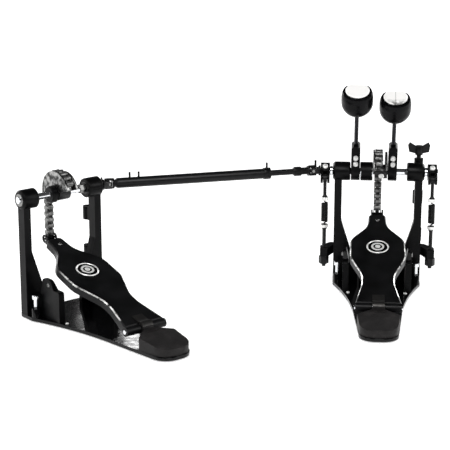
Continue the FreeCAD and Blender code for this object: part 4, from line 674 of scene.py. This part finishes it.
class PEDAL_OT_finishes(bpy.types.Operator):
    """Give each CAD node the finish of the real piece"""

    bl_idname = "pedal.finishes"
    bl_label = "Finishes"

    def execute(self, context):
        coat = powder_coat()
        oxide = black_oxide()
        chrome = chromed()
        steel = ground_steel()
        rubber = grip_rubber()
        enamel = gloss_enamel()
        heel = moulded_heel()
        chain = nickel_chain()
        rods = threaded_rod()
        zinc = pale_zinc_and_glint()
        head = beater_gloss()
        for pedal, place in PEDALS:
            for node in ("left_post", "right_post"):
                dress(f"{pedal}_{node}", coat, bevel=0.9)
            dress(f"{pedal}_footboard", board_coat_with_painted_highlight(pedal, place))
            dress(f"{pedal}_heel_plate", heel, bevel=1.6)
            dress(f"{pedal}_base_plate", enamel, bevel=0.8)
            dress(f"{pedal}_rubber_pads", rubber, bevel=0.4)
            bearing = part_blackened(f"{pedal}_bearing_steel", place, dark_from=-66, bright=finishes().nickel)
            dress(f"{pedal}_bearings", bearing, bevel=0.3)
            dress(f"{pedal}_pins_and_spurs", chrome, bevel=0.4)
            dress(f"{pedal}_toe_clevis", oxide, bevel=0.3)
            dress(f"{pedal}_cam", tumbled_cam(pedal, place), bevel=0.5)
            dress(f"{pedal}_joint_cross", steel, bevel=0.2)
            for node in ("wrap", "link_upper", "link_lower", "drop"):
                dress(f"{pedal}_chain_{node}", chain)
        dress("main_axle", chrome, bevel=0.3)
        slave_axle = part_blackened("slave_axle_steel", SLAVE, dark_from=72, bright=finishes().chrome)
        dress("slave_axle", slave_axle, bevel=0.3)
        dress("secondary_shaft", oxide, bevel=0.3)
        # Only the primary's disc gets the painted grey reflection and the grey middle line
        for beater, greying in (("primary", 1.0), ("secondary", 0.0)):
            dress(f"{beater}_hub", coat, bevel=0.6)
            dress(f"{beater}_hub_bolts", zinc, bevel=0.3)
            # Painted reflection: rod chrome darkened for the dark it mirrors along its core
            darkened_rod_chrome = chromed(f"{beater}_rod_chrome", finishes().rod, smooth=0.02, rough=0.08)
            dress(f"{beater}_beater_rod", darkened_rod_chrome)
            dress(f"{beater}_beater_head", head, bevel=0.5)
            dress(f"{beater}_beater_cap", white_cap(beater, greying))
        for side in ("left", "right"):
            dress(f"{side}_rocker", coat, bevel=0.6)
            dress(f"{side}_spring_hanger", oxide)
            dress(f"{side}_tension_nut", oxide, bevel=0.5)
            dress(f"{side}_spring", oxide)
        dress("spring_brackets", coat, bevel=0.8)
        dress("spring_tension_rods", rods)
        dress("clamp_screw", rods)
        dress("wing_head", oxide, bevel=0.7)
        dress("hoop_clamp_jaw", coat, bevel=0.6)
        dress("hoop_clamp_pad", rubber, bevel=0.4)
        tube = black_oxide("blackened_tube", smooth=0.3, rough=0.42)
        dress("drive_tube", tube, bevel=0.3)
        dress("drive_rod", tube, bevel=0.3)
        dress("drive_tube_screws", oxide, bevel=0.2)
        return {"FINISHED"}


class PEDAL_OT_springs(bpy.types.Operator):
    """Wind the two extension springs, each stretched between its bright caps"""

    bl_idname = "pedal.springs"
    bl_label = "Springs"

    def execute(self, context):
        steel = black_oxide("blackened_spring_wire", smooth=0.22, rough=0.36)
        bright = pale_zinc_and_glint()
        cap = turned([(4.4, 0.1), (5.7, 0.1), (6.1, 0.5), (6.1, 3.4), (5.2, 4.9), (4.4, 4.9)])
        for side in ("left", "right"):
            hanger = f"{side}_hanger"
            low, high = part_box(f"{side}_spring")
            middle = (low + high) / 2
            foot = Vector((middle.x, middle.y, low.z))
            top = Vector((middle.x, middle.y, high.z))
            wire = tube_rings(coil_path(foot, top), sizes().wire)
            piece = add_piece(f"{side}_coil", wire, MAIN, steel, sharp=60)
            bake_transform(piece)
            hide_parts(f"{side}_spring")
            for end, point, way, body in (("top", top, 1, hanger), ("foot", foot, -1, "main_frame")):
                place = towards(point / MM, (0, 0, way))
                add_piece(f"{side}_spring_cap_{end}", cap, place, bright, body, closed=True)
        return {"FINISHED"}


class PEDAL_OT_badges(bpy.types.Operator):
    """Set a plain badge with pale rings into each footboard"""

    bl_idname = "pedal.badges"
    bl_label = "Badges"

    def execute(self, context):
        outer = sizes().badge_radius / MM
        bright = pale_zinc_and_glint()
        dark = black_oxide("badge_enamel", smooth=0.15, rough=0.25)
        rim = [(outer, -0.6), (outer, 0.5), (outer - 0.6, 1.1),
               (outer - 1.6, 1.1), (outer - 2.2, 0.5), (outer - 2.2, -0.6)]
        field = [(outer - 2.1, -0.5), (outer - 2.1, 0.35), (outer * 0.3, 0.6)]
        band = [(outer * 0.58, 0.3), (outer * 0.58, 1.0), (outer * 0.54, 1.4),
                (outer * 0.44, 1.4), (outer * 0.4, 1.0), (outer * 0.4, 0.3)]
        boss = [(outer * 0.24, 0.5), (outer * 0.24, 1.2), (outer * 0.2, 1.6), (outer * 0.08, 1.8)]
        for pedal, place in PEDALS:
            seat = board_place(place) @ Matrix.Translation((0, sizes().badge_reach, sizes().board_top))
            for part, profile, finish, slot, closed in (
                    ("ring", rim, bright, "chrome_steel", True),
                    ("field", field, dark, "black_oxide_steel", False),
                    ("band", band, bright, "chrome_steel", True),
                    ("boss", boss, bright, "chrome_steel", False)):
                add_piece(f"{pedal}_badge_{part}", turned(profile), seat, finish,
                          f"{pedal}_footboard", closed)
        return {"FINISHED"}


class PEDAL_OT_collars(bpy.types.Operator):
    """Slip the collars and the sleeve on the main axle, and the cam's boss and the nut on the slave's"""

    bl_idname = "pedal.collars"
    bl_label = "Axle collars"

    def execute(self, context):
        chrome = chromed("collar_chrome")
        coat = powder_coat()
        height = AXLE.z / MM
        cam_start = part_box("main_cam")[0].x / MM

        collar = turned(sleeve(bore=5.2, outer=sizes().collar_radius / MM, reach=4.4))
        for side, sign, body in AXLE_ENDS:
            place = towards((sign * sizes().collar_place / MM, 0, height), (sign, 0, 0))
            add_piece(f"{side}_collar", collar, place, chrome, body, closed=True)

        # The sleeve covers the axle's cup, a little proud of it, and ends just short of the cam.
        low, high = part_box("main_axle")
        first = low.x / MM - 0.3
        last = cam_start - 0.4
        radius = (high.z - low.z) / 2 / MM + 0.25
        cover = turned(sleeve(bore=5.7, outer=radius, reach=last - first, start=1.2, end=1.2))
        place = towards((first, 0, height), (1, 0, 0))
        add_piece("axle_sleeve", cover, place, coat, "main_axle", closed=True)

        # The slave's cam sits at the same place across its pedal, and the boss ends just short of it.
        boss = turned(sleeve(bore=5.2, outer=12.6, reach=10.0, start=1.6, end=1.0))
        place = SLAVE @ towards((cam_start - 10.5, 0, height), (1, 0, 0))
        add_piece("cam_boss", boss, place, coat, "slave_axle", closed=True)

        nut = turned(sleeve(bore=5.9, outer=7.0, reach=10.2), corners=6)
        place = SLAVE @ towards((sizes().nut_place / MM, 0, height), (1, 0, 0))
        add_piece("axle_nut", nut, place, ground_steel(), "slave_axle", closed=True)
        return {"FINISHED"}


class PEDAL_OT_rollers(bpy.types.Operator):
    """Slip a roller over each bush of the hanging chains"""

    bl_idname = "pedal.rollers"
    bl_label = "Chain rollers"

    def execute(self, context):
        chain = nickel_chain()
        barrel = turned([(4.1, -2.95), (4.5, -2.95), (4.68, -2.75), (4.68, 2.75), (4.5, 2.95), (4.1, 2.95)])
        for pedal, place in PEDALS:
            top = Vector(JOINTS[f"{pedal}_chain_drop_turn"]["pos_m"])
            way = place.col[0].to_3d()
            body = f"{pedal}_drop"
            for i in range(1, sizes().drop_links + 1):
                pin = towards((top - Vector((0, 0, i * sizes().chain_pitch))) / MM, way)
                add_piece(f"{pedal}_roller_{i}", barrel, pin, chain, body, closed=True)
        return {"FINISHED"}


class PEDAL_OT_straps(bpy.types.Operator):
    """Bend a worn steel strap over each hinge knuckle"""

    bl_idname = "pedal.straps"
    bl_label = "Hinge straps"

    def execute(self, context):
        steel = chromed("worn_strap_steel", finishes().strap, smooth=0.4, rough=0.55)
        half = sizes().strap_width / 2
        outer = strap_line(radius=9.9, tail=[(11, 7.5), (22, 7.2)])
        inner = strap_line(radius=9.1, tail=[(11, 6.75), (22, 6.6)])
        section = outer + inner[::-1]
        rings = [[Vector((x, reach * MM, rise * MM)) for reach, rise in section] for x in (-half, half)]
        for pedal, place in PEDALS:
            add_piece(f"{pedal}_hinge_strap", rings, board_place(place), steel,
                      f"{pedal}_footboard")
        return {"FINISHED"}


class PEDAL_OT_screws(bpy.types.Operator):
    """Fit the small screws, rivets and set screws"""

    bl_idname = "pedal.screws"
    bl_label = "Small screws"

    def execute(self, context):
        bright = pale_zinc_and_glint()
        dark = black_oxide("screw_black", smooth=0.25, rough=0.4)
        grey = ground_steel()

        # Places in millimetres from the floor under the middle of an axle, on the right where there are two
        height = AXLE.z / MM
        ear_bolt = Vector((53.0, -44.0, 60.0))
        rivet = Vector((44.0, -76.0, 7.0))
        rocker_bolt = Vector((83.0, -8.6, height + 8.6))
        cam_screw = (4.0, -10.4, height - 4.6)
        yoke_screw = (-98.6, 0, height + 7.4)
        slave_screw = (76.1, 0, height + 4.4)

        toe_head = button_head(radius=3.0, rise=2.0, socket=1.5)
        ear_head = button_head(radius=3.2, rise=2.2, socket=1.6)
        rivet_head = button_head(radius=2.6, rise=1.6, socket=1.2)
        rocker_head = button_head(radius=4.2, rise=2.6, socket=1.2)
        cam_head = button_head(radius=4.4, rise=2.6, socket=2.2)
        yoke_key = key_screw(radius=1.7, rise=9.0)
        slave_key = key_screw(radius=1.7, rise=7.0)

        fittings = []
        for pedal, place in PEDALS:
            board = f"{pedal}_footboard"
            base = f"{pedal}_frame"
            toe = board_place(place) @ Matrix.Translation((0, sizes().toe_reach, sizes().board_top))
            fittings.append((f"{pedal}_toe_screw", toe_head, toe, grey, board))
            for side, sign in (("left", -1), ("right", 1)):
                mirror = Vector((sign, 1, 1))
                ear = place @ towards(mirror * ear_bolt, (sign, 0, 0))
                fittings.append((f"{pedal}_{side}_ear_bolt", ear_head, ear, grey, base))
                foot = place @ towards(mirror * rivet, (0, 0, 1))
                fittings.append((f"{pedal}_{side}_rivet", rivet_head, foot, bright, base))
        for side, sign, body in AXLE_ENDS:
            seat = towards(Vector((sign, 1, 1)) * rocker_bolt, (0, -1, 1))
            fittings.append((f"{side}_rocker_bolt", rocker_head, seat, bright, body))
        seat = towards(cam_screw, (0, -1, -0.4))
        fittings.append(("cam_screw", cam_head, seat, bright, "main_axle"))
        seat = towards(yoke_screw, (0, 0, 1))
        fittings.append(("yoke_key_screw", yoke_key, seat, dark, "secondary_shaft"))
        seat = SLAVE @ towards(slave_screw, (0, 0, 1))
        fittings.append(("slave_key_screw", slave_key, seat, dark, "slave_axle"))
        for name, rings, place, material, body in fittings:
            add_piece(name, rings, place, material, body)
        return {"FINISHED"}


class PEDAL_OT_stage(bpy.types.Operator):
    """Set up the floor, the soft lights and the camera"""

    bl_idname = "pedal.stage"
    bl_label = "Stage"

    def execute(self, context):
        scene = context.scene
        stage = scene.pedal_stage
        white = linear("ffffff")

        paper, tree, shader, here = start_material("studio_paper", {
            "Roughness": 0.9, "Specular IOR Level": 0.1, "Base Color": stage.floor, "Emission Color": white})
        # Far from the pedals the lamps reach the paper less, so its own glow rises to white there.
        far = add_node(tree, "ShaderNodeVectorMath", {"operation": "LENGTH"}, {0: here["Vector"]})
        rise = {"From Min": stage.glow_near, "From Max": stage.glow_far, "To Min": stage.glow, "To Max": 1.0}
        glow = add_node(tree, "ShaderNodeMapRange", rise, {"Value": far.outputs["Value"]})
        tree.links.new(glow.outputs["Result"], shader.inputs["Emission Strength"])
        edge = stage.floor_reach
        floor = bpy.data.meshes.new("floor")
        floor.from_pydata([(-edge, -edge, 0), (edge, -edge, 0), (edge, edge, 0), (-edge, edge, 0)], [],
                          [(0, 1, 2, 3)])
        floor.materials.append(paper)
        ground = bpy.data.objects.new("floor", floor)
        scene.collection.objects.link(ground)

        world = bpy.data.worlds.new("dim_room")
        world.use_nodes = True
        surroundings = world.node_tree.nodes["Background"]
        surroundings.inputs["Color"].default_value = white
        surroundings.inputs["Strength"].default_value = stage.world
        scene.world = world
        scene.view_settings.view_transform = "Standard"

        # The two small panels are there for their reflections in the slave pedal's base plate.
        middle = (-0.2, -0.1, 0.1)
        for name, place, aim, size, power in (
                ("front_light", (-0.3, -2.2, 2.4), middle, 1.4, 60),
                ("left_light", (-2.4, -0.6, 1.3), middle, 1.2, 22),
                ("right_light", (2.0, -0.6, 1.3), middle, 1.2, 22),
                ("hinge_panel", (-0.68, 2.2, 0.9), (-0.35, -0.3, 0.0), 0.07, 0.2),
                ("plate_panel", (-0.82, 2.2, 0.85), (-0.42, -0.23, 0.0), 0.06, 0.05),
                ("left_rim", (-2.2, 2.2, 1.0), middle, 1.4, 45),
                ("right_rim", (1.8, 2.2, 1.0), middle, 1.4, 45)):
            light = bpy.data.lights.new(name, "AREA")
            light.size = size
            light.energy = power
            lamp = bpy.data.objects.new(name, light)
            lamp.location = place
            lamp.rotation_euler = (Vector(aim) - Vector(place)).to_track_quat("-Z", "Y").to_euler()
            scene.collection.objects.link(lamp)

        lens = bpy.data.cameras.new("camera")
        lens.lens = stage.lens
        lens.sensor_width = 36
        camera = bpy.data.objects.new("camera", lens)
        camera.location = stage.camera_place
        camera.rotation_euler = (stage.camera_tilt, 0, stage.camera_pan)
        scene.collection.objects.link(camera)
        scene.camera = camera
        return {"FINISHED"}


class PEDAL_PT_panel(bpy.types.Panel):
    """Lists the pedal's steps in the sidebar"""

    bl_idname = "PEDAL_PT_panel"
    bl_label = "Double Bass Drum Pedal"
    bl_space_type = "VIEW_3D"
    bl_region_type = "UI"
    bl_category = "Pedal"

    def draw(self, context):
        for group in (context.scene.pedal_finishes, context.scene.pedal_sizes, context.scene.pedal_stage):
            for name in group.bl_rna.properties.keys():
                if name not in ("rna_type", "name"):
                    self.layout.prop(group, name)
        for operator in OPERATORS:
            self.layout.operator(operator.bl_idname)


OPERATORS = (PEDAL_OT_stage, PEDAL_OT_finishes, PEDAL_OT_springs, PEDAL_OT_badges, PEDAL_OT_collars,
             PEDAL_OT_rollers, PEDAL_OT_straps, PEDAL_OT_screws)
CLASSES = (PedalFinishes, PedalSizes, PedalStage) + OPERATORS + (PEDAL_PT_panel,)


def register():
    for cls in CLASSES:
        bpy.utils.register_class(cls)
    bpy.types.Scene.pedal_finishes = PointerProperty(type=PedalFinishes)
    bpy.types.Scene.pedal_sizes = PointerProperty(type=PedalSizes)
    bpy.types.Scene.pedal_stage = PointerProperty(type=PedalStage)


def unregister():
    del bpy.types.Scene.pedal_stage
    del bpy.types.Scene.pedal_sizes
    del bpy.types.Scene.pedal_finishes
    for cls in reversed(CLASSES):
        bpy.utils.unregister_class(cls)


def main():
    register()
    bpy.ops.pedal.stage()
    bpy.ops.pedal.finishes()
    bpy.ops.pedal.springs()
    bpy.ops.pedal.badges()
    bpy.ops.pedal.collars()
    bpy.ops.pedal.rollers()
    bpy.ops.pedal.straps()
    bpy.ops.pedal.screws()


if __name__ == "__main__":
    main()
